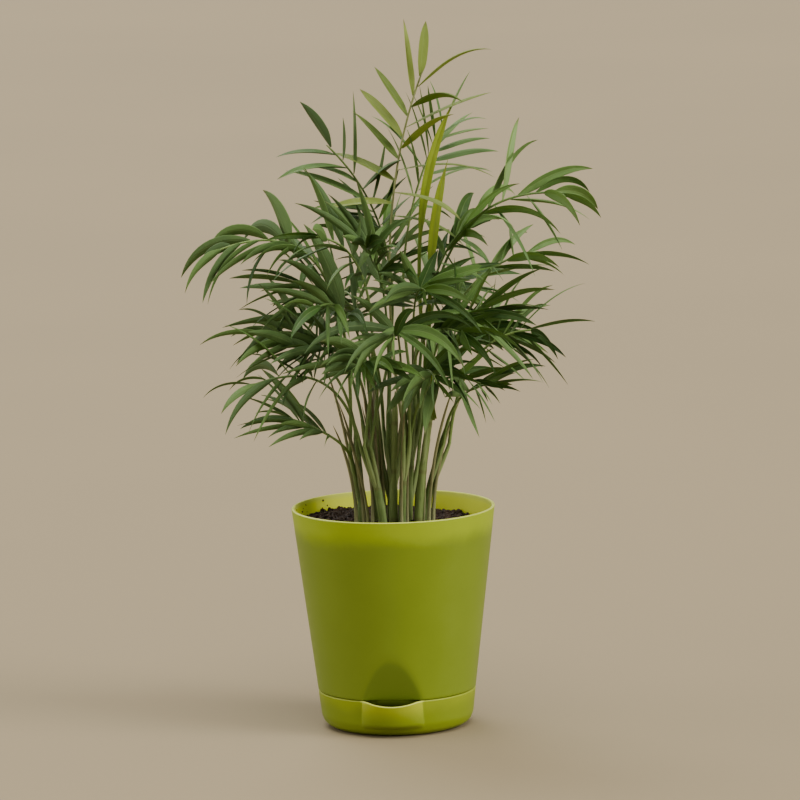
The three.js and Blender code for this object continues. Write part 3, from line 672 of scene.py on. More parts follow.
@dataclass(frozen=True)
class MouldedPlastic:
    """Satin, slightly see-through moulded plastic over something dark, with painted shade, painted light and
    painted highlights in its colour.
    """

    name: str
    filled: Colour  # painted shade where soil or water stands behind the see-through wall
    clear: Colour  # where there is only air behind it, with no painted shade
    bottom: float  # the foot of the painted shade, in millimetres
    top: float  # and its top
    inside: Colour  # painted light on the inner face above the soil, where light comes through the wall
    lit: Colour  # painted highlight on thin edges and the lip
    fade: float = 5.0  # how gradually the painted shade ends

    def build(self, shop: Workshop) -> bpy.types.Material:
        """Makes the material.

        Args:
            shop: the workshop.

        Returns:
            The material.
        """
        material, tree, shader = new_material(self.name)
        where = tree.add("ShaderNodeTexCoord").outputs["Object"]
        place = tree.add("ShaderNodeSeparateXYZ", {0: where})
        tone = tree.add("ShaderNodeGroup", {"Clouds": 38.0, "Grain": 1100.0}, node_tree=shop.mottle)
        # painted shade: the wall is darker between bottom and top, where the soil or water stands behind it
        wave = tree.math("SUBTRACT", tree.noise(where, 55.0, 4.0), 0.5)
        height = tree.math("MULTIPLY_ADD", wave, 0.010, place.outputs["Z"])
        air_above = tree.between(height, (self.top - self.fade) * MM, (self.top + self.fade) * MM)
        air_below = tree.between(height, (self.bottom + self.fade) * MM, (self.bottom - self.fade) * MM)
        air = tree.math("MAXIMUM", air_above, air_below)
        colour = tree.blend(air, self.filled, self.clear)
        # painted light on the pouch below the lip
        colour = tree.blend(tree.math("MULTIPLY", tree.attribute("glow"), 0.30), colour, self.inside)
        # painted light on the inner face above the soil
        colour = tree.blend(tree.attribute("inner"), colour, self.inside)
        # painted shade on the leaning facet, which faces downwards
        thick = tree.blend(1.0, colour, (0.78, 0.82, 0.90), "MULTIPLY")
        colour = tree.blend(tree.attribute("thick"), colour, thick)
        # painted highlight on the rim and the lip
        colour = tree.blend(tree.attribute("edge"), colour, self.lit)
        # painted shade: near black in the slot under the seam, on the pot's skirt and the base's inside
        colour = tree.blend(tree.attribute("slot_shade"), colour, (0.004, 0.0035, 0.0015))
        darker = tree.blend(1.0, colour, (0.90, 0.91, 0.86), "MULTIPLY")
        shade = tree.between(tone.outputs["Tone"], 0.25, 0.75)
        tree.join(tree.blend(shade, darker, colour), shader, "Base Color")
        rough = tree.math("MULTIPLY_ADD", tone.outputs["Tone"], 0.16, 0.30)
        rough = tree.math("MULTIPLY_ADD", tree.attribute("inner"), 0.3, rough)
        tree.join(rough, shader, "Roughness")
        shader.inputs["Specular IOR Level"].default_value = 0.32
        normal = bump(tree, tone.outputs["Height"], 0.05, 0.0004)
        tree.join(normal, shader, "Normal")
        let_light_through(tree, shader, colour, 0.24)
        return material


class LeafAge(Enum):
    """How old a leaf is: its dark and its light green, and how much light it lets through."""

    MATURE = ((0.032, 0.092, 0.013), (0.108, 0.218, 0.034), 0.26)
    BRIGHT = ((0.085, 0.200, 0.038), (0.225, 0.370, 0.110), 0.32)
    YOUNG = ((0.130, 0.215, 0.030), (0.290, 0.370, 0.070), 0.36)
    SPEAR = ((0.230, 0.350, 0.020), (0.400, 0.500, 0.045), 0.36)


@dataclass(frozen=True)
class LeafFinish:
    """A leaf blade: waxy above, duller and paler below, with a midrib and fine veins."""

    age: LeafAge
    veins: float = 30.0
    green_foot: float = 0.0  # how green the stalk below the blade is

    def build(self, shop: Workshop) -> bpy.types.Material:
        """Makes the material.

        Args:
            shop: the workshop.

        Returns:
            The material.
        """
        dark, light, through = self.age.value
        material, tree, shader = new_material(f"leaf_{self.age.name.lower()}")
        marks = tree.add("ShaderNodeGroup", {"Veins": self.veins}, node_tree=shop.blade)
        tone = tree.add("ShaderNodeGroup", {"Clouds": 150.0, "Grain": 1600.0}, node_tree=shop.mottle)
        clouds = tree.math("MULTIPLY", tone.outputs["Tone"], 0.7)
        own = tree.math("MULTIPLY_ADD", tree.attribute("tone"), 0.8, clouds)
        colour = tree.blend(tree.between(own, 0.25, 1.15), dark, light)
        veined = tree.blend(1.0, colour, (0.78, 0.82, 0.72), "MULTIPLY")
        colour = tree.blend(tree.math("MULTIPLY", marks.outputs["Vein"], 0.55), colour, veined)
        pale = tree.blend(0.55, light, (0.34, 0.44, 0.16))
        colour = tree.blend(tree.math("MULTIPLY", marks.outputs["Rib"], 0.6), colour, pale)
        dull = tree.blend(0.35, colour, (0.15, 0.22, 0.09))
        colour = tree.blend(tree.math("MULTIPLY", marks.outputs["Under"], 0.8), colour, dull)
        if self.green_foot > 0.0:
            foot = tree.math("MULTIPLY", tree.between(tree.attribute("along"), 0.66, 0.46), self.green_foot)
            colour = tree.blend(foot, colour, (0.110, 0.185, 0.040))
        dry = tree.math("MULTIPLY", marks.outputs["Tip"], tree.between(own, 0.55, 1.1))
        colour = tree.blend(tree.math("MULTIPLY", dry, 0.75), colour, (0.13, 0.10, 0.035))
        tree.join(colour, shader, "Base Color")
        rough = tree.math("MULTIPLY_ADD", marks.outputs["Under"], 0.18, 0.36)
        rough = tree.math("MULTIPLY_ADD", tone.outputs["Tone"], 0.14, rough)
        tree.join(rough, shader, "Roughness")
        shader.inputs["Specular IOR Level"].default_value = 0.38
        normal = bump(tree, marks.outputs["Height"], 0.45, 0.0004)
        tree.join(normal, shader, "Normal")
        plain = tree.blend(tree.between(tree.attribute("tone"), 0.0, 1.0), dark, light)
        lit = tree.blend(1.0, plain, (1.35, 1.25, 0.75), "MULTIPLY")
        let_light_through(tree, shader, lit, through)
        return material


@dataclass(frozen=True)
class StemSkin:
    """Smooth skin of stems and stalks: pale green with lengthwise streaks and brown scars."""

    name: str
    dark: Colour = (0.060, 0.115, 0.026)
    light: Colour = (0.230, 0.310, 0.095)
    scars: float = 0.0  # how strongly the rings where old sheaths sat are drawn

    def build(self, shop: Workshop) -> bpy.types.Material:
        """Makes the material.

        Args:
            shop: the workshop.

        Returns:
            The material.
        """
        material, tree, shader = new_material(self.name)
        where = tree.add("ShaderNodeTexCoord").outputs["Object"]
        stretch = tree.add("ShaderNodeMapping", {"Vector": where, "Scale": (1.0, 1.0, 0.045)})
        streaks = tree.noise(stretch.outputs[0], 1500.0, 4.0)
        tone = tree.add("ShaderNodeGroup", {"Clouds": 70.0, "Grain": 1500.0}, node_tree=shop.mottle)
        mixed = tree.math("MULTIPLY_ADD", tone.outputs["Tone"], 0.6, tree.math("MULTIPLY", streaks, 0.8))
        mixed = tree.math("MULTIPLY_ADD", tree.attribute("tone"), 0.35, mixed)
        colour = tree.blend(tree.between(mixed, 0.45, 1.15), self.dark, self.light)
        foot = tree.between(tree.attribute("along"), 0.30, 0.0)
        colour = tree.blend(tree.math("MULTIPLY", foot, 0.45), colour, (0.36, 0.40, 0.20))
        if self.scars > 0.0:
            rings = tree.math("COSINE", tree.math("MULTIPLY", tree.attribute("along"), 20.0))
            ring = tree.between(tree.math("MULTIPLY_ADD", streaks, 0.10, rings), 0.97, 1.06)
            ring = tree.math("MULTIPLY", ring, self.scars)
            colour = tree.blend(ring, colour, (0.115, 0.075, 0.030))
        tree.join(colour, shader, "Base Color")
        rough = tree.math("MULTIPLY_ADD", streaks, 0.25, 0.34)
        tree.join(rough, shader, "Roughness")
        shader.inputs["Specular IOR Level"].default_value = 0.4
        tree.join(bump(tree, streaks, 0.35, 0.0005), shader, "Normal")
        plain = tree.blend(tree.between(tree.attribute("tone"), 0.0, 1.0), self.dark, self.light)
        let_light_through(tree, shader, plain, 0.15)
        return material


@dataclass(frozen=True)
class SoilFinish:
    """Damp potting mix: nearly black, with warmer and paler specks."""

    name: str
    dark: Colour = (0.005, 0.0025, 0.0016)
    light: Colour = (0.034, 0.017, 0.009)

    def build(self, shop: Workshop) -> bpy.types.Material:
        """Makes the material.

        Args:
            shop: the workshop.

        Returns:
            The material.
        """
        material, tree, shader = new_material(self.name)
        where = tree.add("ShaderNodeTexCoord").outputs["Object"]
        tone = tree.add("ShaderNodeGroup", {"Clouds": 260.0, "Grain": 1900.0}, node_tree=shop.mottle)
        colour = tree.blend(tree.between(tone.outputs["Tone"], 0.3, 0.7), self.dark, self.light)
        specks = tree.add("ShaderNodeTexVoronoi", {"Vector": where, "Scale": 700.0})
        fleck = tree.between(specks.outputs["Distance"], 0.16, 0.05)
        colour = tree.blend(tree.math("MULTIPLY", fleck, 0.5), colour, (0.10, 0.055, 0.028))
        tree.join(colour, shader, "Base Color")
        rough = tree.math("MULTIPLY_ADD", tone.outputs["Tone"], -0.3, 1.0)
        tree.join(rough, shader, "Roughness")
        shader.inputs["Specular IOR Level"].default_value = 0.3
        tree.join(bump(tree, tone.outputs["Height"], 0.8, 0.0006), shader, "Normal")
        return material


@dataclass(frozen=True)
class WickFibre:
    """Undyed fibre of the wick, with brown where it has been wet."""

    name: str = "wick_fibre"

    def build(self, shop: Workshop) -> bpy.types.Material:
        """Makes the material.

        Args:
            shop: the workshop.

        Returns:
            The material.
        """
        material, tree, shader = new_material(self.name)
        tone = tree.add("ShaderNodeGroup", {"Clouds": 120.0, "Grain": 2200.0}, node_tree=shop.mottle)
        colour = tree.blend(tree.between(tone.outputs["Tone"], 0.3, 0.7), (0.30, 0.24, 0.15), (0.66, 0.61, 0.48))
        tree.join(colour, shader, "Base Color")
        rough = tree.math("MULTIPLY_ADD", tone.outputs["Tone"], 0.2, 0.75)
        tree.join(rough, shader, "Roughness")
        tree.join(bump(tree, tone.outputs["Height"], 0.6, 0.0005), shader, "Normal")
        return material


@dataclass(frozen=True)
class StudioPaper:
    """Plain pale paper of the floor."""

    name: str = "studio_paper"
    colour: Colour = (0.228, 0.181, 0.101)

    def build(self, shop: Workshop) -> bpy.types.Material:
        """Makes the material.

        Args:
            shop: the workshop.

        Returns:
            The material.
        """
        material, tree, shader = new_material(self.name)
        tone = tree.add("ShaderNodeGroup", {"Clouds": 1.5, "Grain": 300.0}, node_tree=shop.mottle)
        deeper = tuple(0.93 * part for part in self.colour)
        colour = tree.blend(tree.between(tone.outputs["Tone"], 0.3, 0.7), deeper, self.colour)
        tree.join(colour, shader, "Base Color")
        tree.join(tree.math("MULTIPLY_ADD", tone.outputs["Tone"], 0.1, 0.8), shader, "Roughness")
        return material


# ---- turned and moulded
def compass(dense: float, step: float, coarse: float) -> np.ndarray:
    """Returns directions round the pot's axis, closer together in front.

    Args:
        dense: the half angle that is dense, in degrees either side of the front.
        step: the dense step in degrees.
        coarse: the other step in degrees.

    Returns:
        Angles in radians from the front, rising, without the closing one.
    """
    near = np.arange(-dense, dense, step)
    far = np.linspace(dense, 360.0 - dense, int((360.0 - 2.0 * dense) / coarse), endpoint=False)
    return np.radians(np.concatenate([near, far]))


def row_points(turns: np.ndarray, rows: Iterable[tuple]) -> np.ndarray:
    """Returns the points of rows round the pot's axis, row after row.

    Args:
        turns: radians from the front.
        rows: the radius and the height of each row, as numbers or one for each
            direction.

    Returns:
        The points, in millimetres.
    """
    x, y = np.cos(FRONT + turns), np.sin(FRONT + turns)
    rings = [np.stack(np.broadcast_arrays(radius * x, radius * y, height), axis=1) for radius, height in rows]
    return np.concatenate(rings)


def lathe(name: str, turns: np.ndarray, rows: Sequence[tuple]) -> bpy.types.Object:
    """Makes a closed mesh from rows round the pot's axis.

    Args:
        name: the piece's name.
        turns: radians from the front.
        rows: the radius and the height of each row, as numbers or one for each
            direction; the first and the last are single points on the axis.

    Returns:
        The object, with its faces outwards.
    """
    count = len(turns)
    ends = [np.array([[0.0, 0.0, float(row[1])]]) for row in (rows[0], rows[-1])]
    points = np.concatenate([ends[0], row_points(turns, rows[1:-1]), ends[1]])
    last, rings = len(points) - 1, len(rows) - 2
    faces = []
    for i in range(count):
        j = (i + 1) % count
        faces.append((0, 1 + j, 1 + i))
        for k in range(rings - 1):
            low, high = 1 + k * count, 1 + (k + 1) * count
            faces.append((low + i, low + j, high + j, high + i))
        faces.append((last, last - count + i, last - count + j))
    made = mesh_object(name, points, faces)
    face_out(made)
    return made


def around(corners: np.ndarray) -> np.ndarray:
    """Returns the direction of each corner from the front, between -pi and pi."""
    return (np.arctan2(corners[:, 1], corners[:, 0]) - FRONT + math.pi) % math.tau - math.pi


def facet_reach(turns: np.ndarray, height: float, behind: float) -> np.ndarray:
    """Returns how far the pot's flat facet is from the axis in each direction.

    Args:
        turns: radians from the front.
        height: in millimetres.
        behind: how far behind the outer facet, in millimetres.

    Returns:
        The distances, very large where the facet isn't met.
    """
    ahead = SEAM_RADIUS - FACET_INSET - behind + (height - SEAM) * math.tan(math.radians(FACET_LEAN))
    along = np.cos(turns)
    return np.where(along > 0.2, ahead / np.maximum(along, 0.2), 1e3)


def nearer(a: np.ndarray, b: np.ndarray, soft: float) -> np.ndarray:
    """Returns the smaller of two distances, with the edge between them rounded."""
    share = np.clip(0.5 + 0.5 * (b - a) / soft, 0.0, 1.0)
    return lerp(b, a, share) - soft * share * (1.0 - share)


@dataclass
class Pot:
    """The moulded pot: a tapering wall with a flat facet over the spout."""

    finish: MouldedPlastic
    edge: float = 0.7  # how softly the facet meets the wall
    hub: float = 4.0  # the rows of the floor
    flat: float = 30.0
    facet_top: float = 46.0  # the rows stand closer below it
    bevel: float = 0.4  # of the wall's foot, at the seam
    inner_light_from: float = 98.0  # the painted light on the inside rises from here to the soil's level

    def wall(self, turns: np.ndarray, height: float, inset: float) -> np.ndarray:
        """Returns the wall's radius, `inset` behind its outside."""
        radius = lerp(SEAM_RADIUS, RIM_RADIUS, (height - SEAM) / (POT_HEIGHT - SEAM)) - inset
        return nearer(np.full(len(turns), radius), facet_reach(turns, height, inset), self.edge)

    def skirt(self, turns: np.ndarray, height: float, inset: float) -> np.ndarray:
        """Returns the radius of the skirt that stands in the base."""
        radius = np.full(len(turns), SKIRT_RADIUS - inset)
        return np.minimum(radius, facet_reach(turns, height, inset))

    def build(self, shop: Workshop) -> bpy.types.Object:
        """Builds the pot and drills its floor.

        Args:
            shop: the workshop.

        Returns:
            The dressed piece.
        """
        turns = compass(dense=30.0, step=1.0, coarse=2.0)
        top = POT_HEIGHT - RIM_ROUND
        heights = np.concatenate([np.arange(SEAM + 0.5, self.facet_top, 0.9), np.linspace(self.facet_top, top, 30)])
        rows = [(0.0, FLOOR_UNDER), (self.hub, FLOOR_UNDER), (self.flat, FLOOR_UNDER)]
        rows += [(self.skirt(turns, z, 0.0), z) for z in (FLOOR_UNDER, 15.0, SEAM - 0.05)]
        rows.append((self.wall(turns, SEAM, self.bevel), SEAM))
        rows.append((self.wall(turns, SEAM + 0.2, 0.1), SEAM + 0.15))
        rows += [(self.wall(turns, z, 0.0), z) for z in heights]
        for inset, turn in ((RIM_ROUND, 1.0), (WALL - RIM_ROUND, -1.0)):
            for step in np.linspace(0.0, 1.0, 5)[:: 1 if turn > 0 else -1]:
                angle = 0.5 * math.pi * step
                away = inset - turn * RIM_ROUND * math.cos(angle)
                high = POT_HEIGHT - RIM_ROUND * (1.0 - math.sin(angle))
                rows.append((self.wall(turns, POT_HEIGHT, 0.0) - away, high))
        rows += [(self.wall(turns, z, WALL), z) for z in heights[::-1] if z > SEAM + WALL]
        rows.append((self.skirt(turns, SEAM + WALL, WALL), SEAM + WALL))
        rows.append((self.skirt(turns, FLOOR_TOP, WALL), FLOOR_TOP))
        rows += [(self.flat, FLOOR_TOP), (self.hub, FLOOR_TOP), (0.0, FLOOR_TOP)]
        turned = lathe("pot_turned", turns, rows)
        made = grown_by(turned, shop.drill, {"Material": self.finish.build(shop)}, "pot_moulded")
        shade_smooth(made)
        self.mark(made)
        return hand_over(made, "pot_plastic", "pot")

    def mark(self, made: bpy.types.Object) -> None:
        """Keeps where the pot gets painted shade on its facet and its skirt, painted light inside and a painted
        highlight on its rim.

        Args:
            made: the pot.
        """
        corners, normals = corners_and_normals(made)
        turns = around(corners)
        heights, radii = corners[:, 2], np.hypot(corners[:, 0], corners[:, 1])
        plain = lerp(SEAM_RADIUS, RIM_RADIUS, (heights - SEAM) / (POT_HEIGHT - SEAM))
        outwards = np.sum(normals[:, :2] * corners[:, :2], axis=1) / np.maximum(radii, 1.0)
        cut = plain - facet_reach(turns, heights, 0.0)
        # painted shade on the facet, which leans to face downwards
        keep_mark(made, "thick", smooth_step(-0.1, 0.5, cut) * smooth_step(0.0, 0.3, outwards))
        # painted highlight on the rounded rim
        keep_mark(made, "edge", 0.8 * smooth_step(0.1, 0.7, normals[:, 2]) * (heights > POT_HEIGHT - 1.5))
        # painted light on the inner face, rising to the soil's level
        inwards = smooth_step(0.1, -0.3, outwards)
        keep_mark(made, "inner", inwards * smooth_step(self.inner_light_from, SOIL_LEVEL, heights))
        # painted shade on the skirt below the seam, seen through the slot
        keep_mark(made, "slot_shade", smooth_step(SEAM + 0.1, SEAM - 0.3, heights))
        keep_mark(made, "glow", 0.0 * heights)


@dataclass
class ReservoirBase:
    """The base that holds the water: a round cup with a filling pouch in front."""

    finish: MouldedPlastic
    hub: float = 15.0  # the row of the flat foot
    pouch_half: float = 0.42  # radians either side of the front
    bend: float = 0.62  # how much of a quarter turn the bottom edge takes

    def pouch(self, turns: np.ndarray, height: float, inset: float) -> np.ndarray:
        """Returns the pouch's reach in each direction, 0 where it isn't.

        Args:
            turns: radians from the front.
            height: in millimetres.
            inset: how far behind the outside.

        Returns:
            The distances from the pot's axis.
        """
        taper = lerp(SPOUT_TAPER, 1.0, (height - SPOUT_FOOT) / (BASE_HEIGHT - SPOUT_FOOT))
        wide = SPOUT_HALF_WIDTH - inset
        deep = (SEAM_RADIUS + SPOUT_REACH - SPOUT_BACK) * taper - inset
        side, ahead = np.sin(turns), np.cos(turns)
        a = (side / wide) ** 2 + (ahead / deep) ** 2
        b = -2.0 * SPOUT_BACK * ahead / deep**2
        c = (SPOUT_BACK / deep) ** 2 - 1.0
        inside = b * b - 4.0 * a * c
        reach = (-b + np.sqrt(np.maximum(inside, 0.0))) / (2.0 * a)
        return np.where((inside > 0.0) & (ahead > 0.0), reach, 0.0)

    def wall(self, turns: np.ndarray, height: float, inset: float) -> np.ndarray:
        """Returns the wall's radius with the pouch, `inset` behind its outside.

        Args:
            turns: radians from the front.
            height: in millimetres.
            inset: how far behind the outside.

        Returns:
            The radius in each direction.
        """
        plain = lerp(BASE_FOOT_RADIUS, SEAM_RADIUS, height / BASE_HEIGHT) - inset
        start = SPOUT_FOOT + inset
        swell = float(smooth_step(start - 1.2, start + 1.8, np.array(height)))
        pouch = self.pouch(turns, max(height, SPOUT_FOOT), inset)
        return np.maximum(plain, lerp(plain, pouch, swell))

    def lip(self, turns: np.ndarray) -> np.ndarray:
        """Returns the height of the wall's top, which sags at the pouch.

        Args:
            turns: radians from the front.

        Returns:
            The height in each direction.
        """
        side = self.wall(turns, BASE_HEIGHT, 0.0) * np.sin(turns)
        radius = (LIP_DIP_HALF_WIDTH**2 + LIP_DIP**2) / (2.0 * LIP_DIP)
        sag = radius - np.sqrt(np.maximum(radius**2 - side**2, 0.0))
        dipped = BASE_HEIGHT - LIP_DIP + sag
        return np.where(np.cos(turns) > 0.0, np.minimum(BASE_HEIGHT, dipped), BASE_HEIGHT)

    def edge_rows(self, floor: float, inset: float) -> list[tuple]:
        """Returns the rows of the rounded bottom edge, outside or inside.

        Args:
            floor: the height of the flat that it rises from.
            inset: how far behind the outside it is.

        Returns:
            The rows, from the flat upwards.
        """
        flat = BASE_FOOT_RADIUS - BASE_ROUND
        wide = lerp(BASE_FOOT_RADIUS, SEAM_RADIUS, BASE_ROUND / BASE_HEIGHT) - inset
        rows = []
        for step in np.linspace(0.0, self.bend, 10):
            angle = 0.5 * math.pi * step
            rise = (BASE_ROUND - floor) * (1.0 - math.cos(angle))
            rows.append((flat + (wide - flat) * math.sin(angle), floor + rise))
        return rows

    def build(self, shop: Workshop) -> bpy.types.Object:
        """Builds the base.

        Args:
            shop: the workshop.

        Returns:
            The dressed piece.
        """
        turns = compass(dense=34.0, step=0.6, coarse=2.5)
        top, thick = self.lip(turns), 0.5 * WALL
        outer = self.edge_rows(0.0, 0.0)
        start = outer[-1][1]
        rows = [(0.0, 0.0), (self.hub, 0.0), *outer]
        rim_foot = top - thick
        for share in np.linspace(0.0, 1.0, 16)[1:]:
            height = lerp(start, rim_foot, share)
            plain = float(lerp(start, BASE_HEIGHT - thick, share))
            radius = self.wall(turns, plain, 0.0)
            if plain < BASE_ROUND:
                radius = radius - BASE_ROUND * 0.5 * (1.0 - plain / BASE_ROUND) ** 2
            rows.append((radius, height))
        outside, inside = self.wall(turns, BASE_HEIGHT, 0.0), self.wall(turns, BASE_HEIGHT, WALL)
        middle, half = 0.5 * (outside + inside), 0.5 * (outside - inside)
        for angle in np.linspace(0.0, math.pi, 9)[1:-1]:
            rows.append((middle + half * math.cos(angle), rim_foot + thick * math.sin(angle)))
        inner = self.edge_rows(BASE_FLOOR, WALL)
        end = inner[-1][1]
        for share in np.linspace(1.0, 0.0, 16):
            plain = float(lerp(end, BASE_HEIGHT - thick, share))
            rows.append((self.wall(turns, plain, WALL), lerp(end, rim_foot, share)))
        rows += [*inner[-2::-1], (self.hub, BASE_FLOOR), (0.0, BASE_FLOOR)]
        made = lathe("base_moulded", turns, rows)
        made.data.materials.append(self.finish.build(shop))
        shade_smooth(made, 40.0)
        self.mark(made)
        return hand_over(made, "base_plastic", "reservoir_base")

    def mark(self, made: bpy.types.Object) -> None:
        """Keeps where the base's lip gets a painted highlight, where its pouch gets painted light and where its
        inside gets painted shade.

        Args:
            made: the base.
        """
        corners, normals = corners_and_normals(made)
        turns = around(corners)
        heights, radii = corners[:, 2], np.hypot(corners[:, 0], corners[:, 1])
        plain = lerp(BASE_FOOT_RADIUS, SEAM_RADIUS, heights / BASE_HEIGHT)
        outwards = np.sum(normals[:, :2] * corners[:, :2], axis=1) / np.maximum(radii, 1.0)
        top = self.lip(turns)
        # painted highlight on the lip, strongest at the pouch
        edge = smooth_step(0.1, 0.6, normals[:, 2]) * smooth_step(-1.2, -0.6, heights - top)
        pouch = smooth_step(0.0, 0.5, radii - plain) * (np.cos(turns) > 0.0)
        keep_mark(made, "thick", 0.0 * heights)
        keep_mark(made, "edge", edge * np.where(np.abs(turns) < self.pouch_half, 0.8, 0.2))
        keep_mark(made, "inner", 0.0 * heights)
        # painted shade on the base's inside, seen through the slot
        inside = smooth_step(0.3, -0.1, outwards) * (heights > 0.5) * smooth_step(-0.4, -1.4, heights - top)
        keep_mark(made, "slot_shade", inside)
        # painted light on the pouch, fading downwards from the lip
        keep_mark(made, "glow", pouch * smooth_step(7.0, 17.0, heights))


# ---- the plant's plan
class CatmullRom:
    """A centripetal curve through points, walked by its length."""

    def __init__(self, points: Sequence[np.ndarray], parts: int = 200) -> None:
        """Keeps the points and measures the curve in `parts` steps.

        Args:
            points: what it passes through.
            parts: how finely it is measured.
        """
        self.points = [np.asarray(p, dtype=float) for p in points]
        line = np.array([self.at(i / parts) for i in range(parts + 1)])
        steps = np.linalg.norm(np.diff(line, axis=0), axis=1)
        self.lengths = np.concatenate([[0.0], np.cumsum(steps)])
        self.length = float(self.lengths[-1])

    def at(self, t: float) -> np.ndarray:
        """Returns the point at parameter `t`, from 0 to 1.

        Args:
            t: the parameter; each stretch between two points has an equal share.

        Returns:
            The point.
        """
        count = len(self.points)
        place = (count - 1) * t
        index = min(int(place), count - 2)
        weight = place - index
        p1, p2 = self.points[index], self.points[index + 1]
        p0 = self.points[index - 1] if index > 0 else 2.0 * self.points[0] - self.points[1]
        p3 = self.points[index + 2] if index + 2 < count else 2.0 * self.points[-1] - self.points[-2]
        d0, d1, d2 = (max(float(np.sum((b - a) ** 2)), 1e-12) ** 0.25 for a, b in ((p0, p1), (p1, p2), (p2, p3)))
        t1 = ((p1 - p0) / d0 - (p2 - p0) / (d0 + d1) + (p2 - p1) / d1) * d1
        t2 = ((p2 - p1) / d1 - (p3 - p1) / (d1 + d2) + (p3 - p2) / d2) * d1
        cubic = 2.0 * p1 - 2.0 * p2 + t1 + t2
        square = -3.0 * p1 + 3.0 * p2 - 2.0 * t1 - t2
        return p1 + t1 * weight + square * weight**2 + cubic * weight**3

    def walked(self, share: float) -> np.ndarray:
        """Returns the point that is `share` of the length along."""
        steps = np.linspace(0.0, 1.0, len(self.lengths))
        return self.at(float(np.interp(share * self.length, self.lengths, steps)))


class Arch:
    """A curve from a foot to a tip that passes through a middle half way."""

    def __init__(self, foot: np.ndarray, mid: np.ndarray, tip: np.ndarray) -> None:
        """Finds the point that pulls the curve through the middle."""
        self.foot, self.tip = foot, tip
        self.pull = 2.0 * mid - 0.5 * foot - 0.5 * tip

    def at(self, t: float) -> np.ndarray:
        """Returns the point at `t`, from 0 to 1."""
        return self.foot * (1.0 - t) ** 2 + self.pull * (2.0 * t * (1.0 - t)) + self.tip * t * t

    def heading(self, t: float) -> np.ndarray:
        """Returns the unit direction at `t`."""
        return unit((self.pull - self.foot) * (1.0 - t) + (self.tip - self.pull) * t)


def drawn(x: float, y: float, height: float) -> np.ndarray:
    """Returns a point of the drawn plant, at its height above the soil."""
    return np.array([x, y, SOIL_LEVEL + height])


@dataclass(frozen=True)
class Seedling:
    """One stem of the clump: its foot in steps, and its crown in millimetres."""

    name: str
    foot: tuple[float, float]
    crown: tuple[float, float, float]

    def line(self) -> CatmullRom:
        """Returns the stem's middle line, from its buried foot to its crown.

        Returns:
            The curve, in millimetres.
        """
        column, row = self.foot
        foot = np.array([column * STEM_STEP, row * STEM_STEP, SOIL_LEVEL])
        crown = drawn(*self.crown)
        shoulder = lerp(foot, crown, 0.45)
        shoulder[0] += 0.12 * (foot[0] - crown[0])
        return CatmullRom([foot - STEM_BURIED * UP, foot, shoulder, crown])


@dataclass(frozen=True)
class Leaf:
    """A frond's or a spear's plan, in the drawn plant's millimetres and degrees."""

    name: str
    on: str
    mid: tuple[float, float, float]
    tip: tuple[float, float, float]
    bare: float = 0.52
    leaves: int = 12
    longest: float = 42.0
    wide: float = 7.0
    spread: float = 52.0
    lift: float = 8.0
    roll: float = 0.0
    droop: float = 0.8
    age: LeafAge = LeafAge.MATURE
    bow: float = 0.80  # how much of the droop the grown leaflets have
    slim: float = 0.54  # and how much of the width
    fan: float = 1.22  # how much wider the lowest leaflets spread
    tilt: float = 44.0  # how far a sideways frond turns its face to the front
    blunt: float = 2.2  # how abruptly the leaflets end
    uneven: float = 0.0  # how much the two sides of the frond differ
    paired: float = 0.62  # the share of leaflets that have one across from them
    scatter: float = 30.0  # degrees that a leaflet may stray from its place
    least: float = 0.58  # the least share of its length that a leaflet grows to

    def half(self, at: float) -> float:
        """Returns half the stalk's width at a place on it."""
        return lerp(PETIOLE_HALF, RACHIS_HALF, min(1.0, at / self.bare) * 0.5 + at * 0.5)


SEEDLINGS = {
    seedling.name: seedling
    for seedling in (
        Seedling("left", (-2.3, 0.3), (-18, 3, 42)),
        Seedling("lean", (-0.75, -1.05), (-13, -11, 46)),
        Seedling("back_left", (-1.2, 0.75), (-8, 8, 52)),
        Seedling("centre", (0, 0), (2, -1, 58)),
        Seedling("front", (0.7, -1.0), (7, -9, 50)),
        Seedling("inner_right", (1.1, 0.3), (12, 4, 60)),
        Seedling("right", (1.9, -0.5), (20, -6, 58)),
        Seedling("far_right", (2.35, 0.45), (27, 5, 44)),
        Seedling("back", (-0.1, 1.4), (-1, 14, 54)),
        Seedling("back_right", (1.0, 1.5), (11, 15, 56)),
    )
}

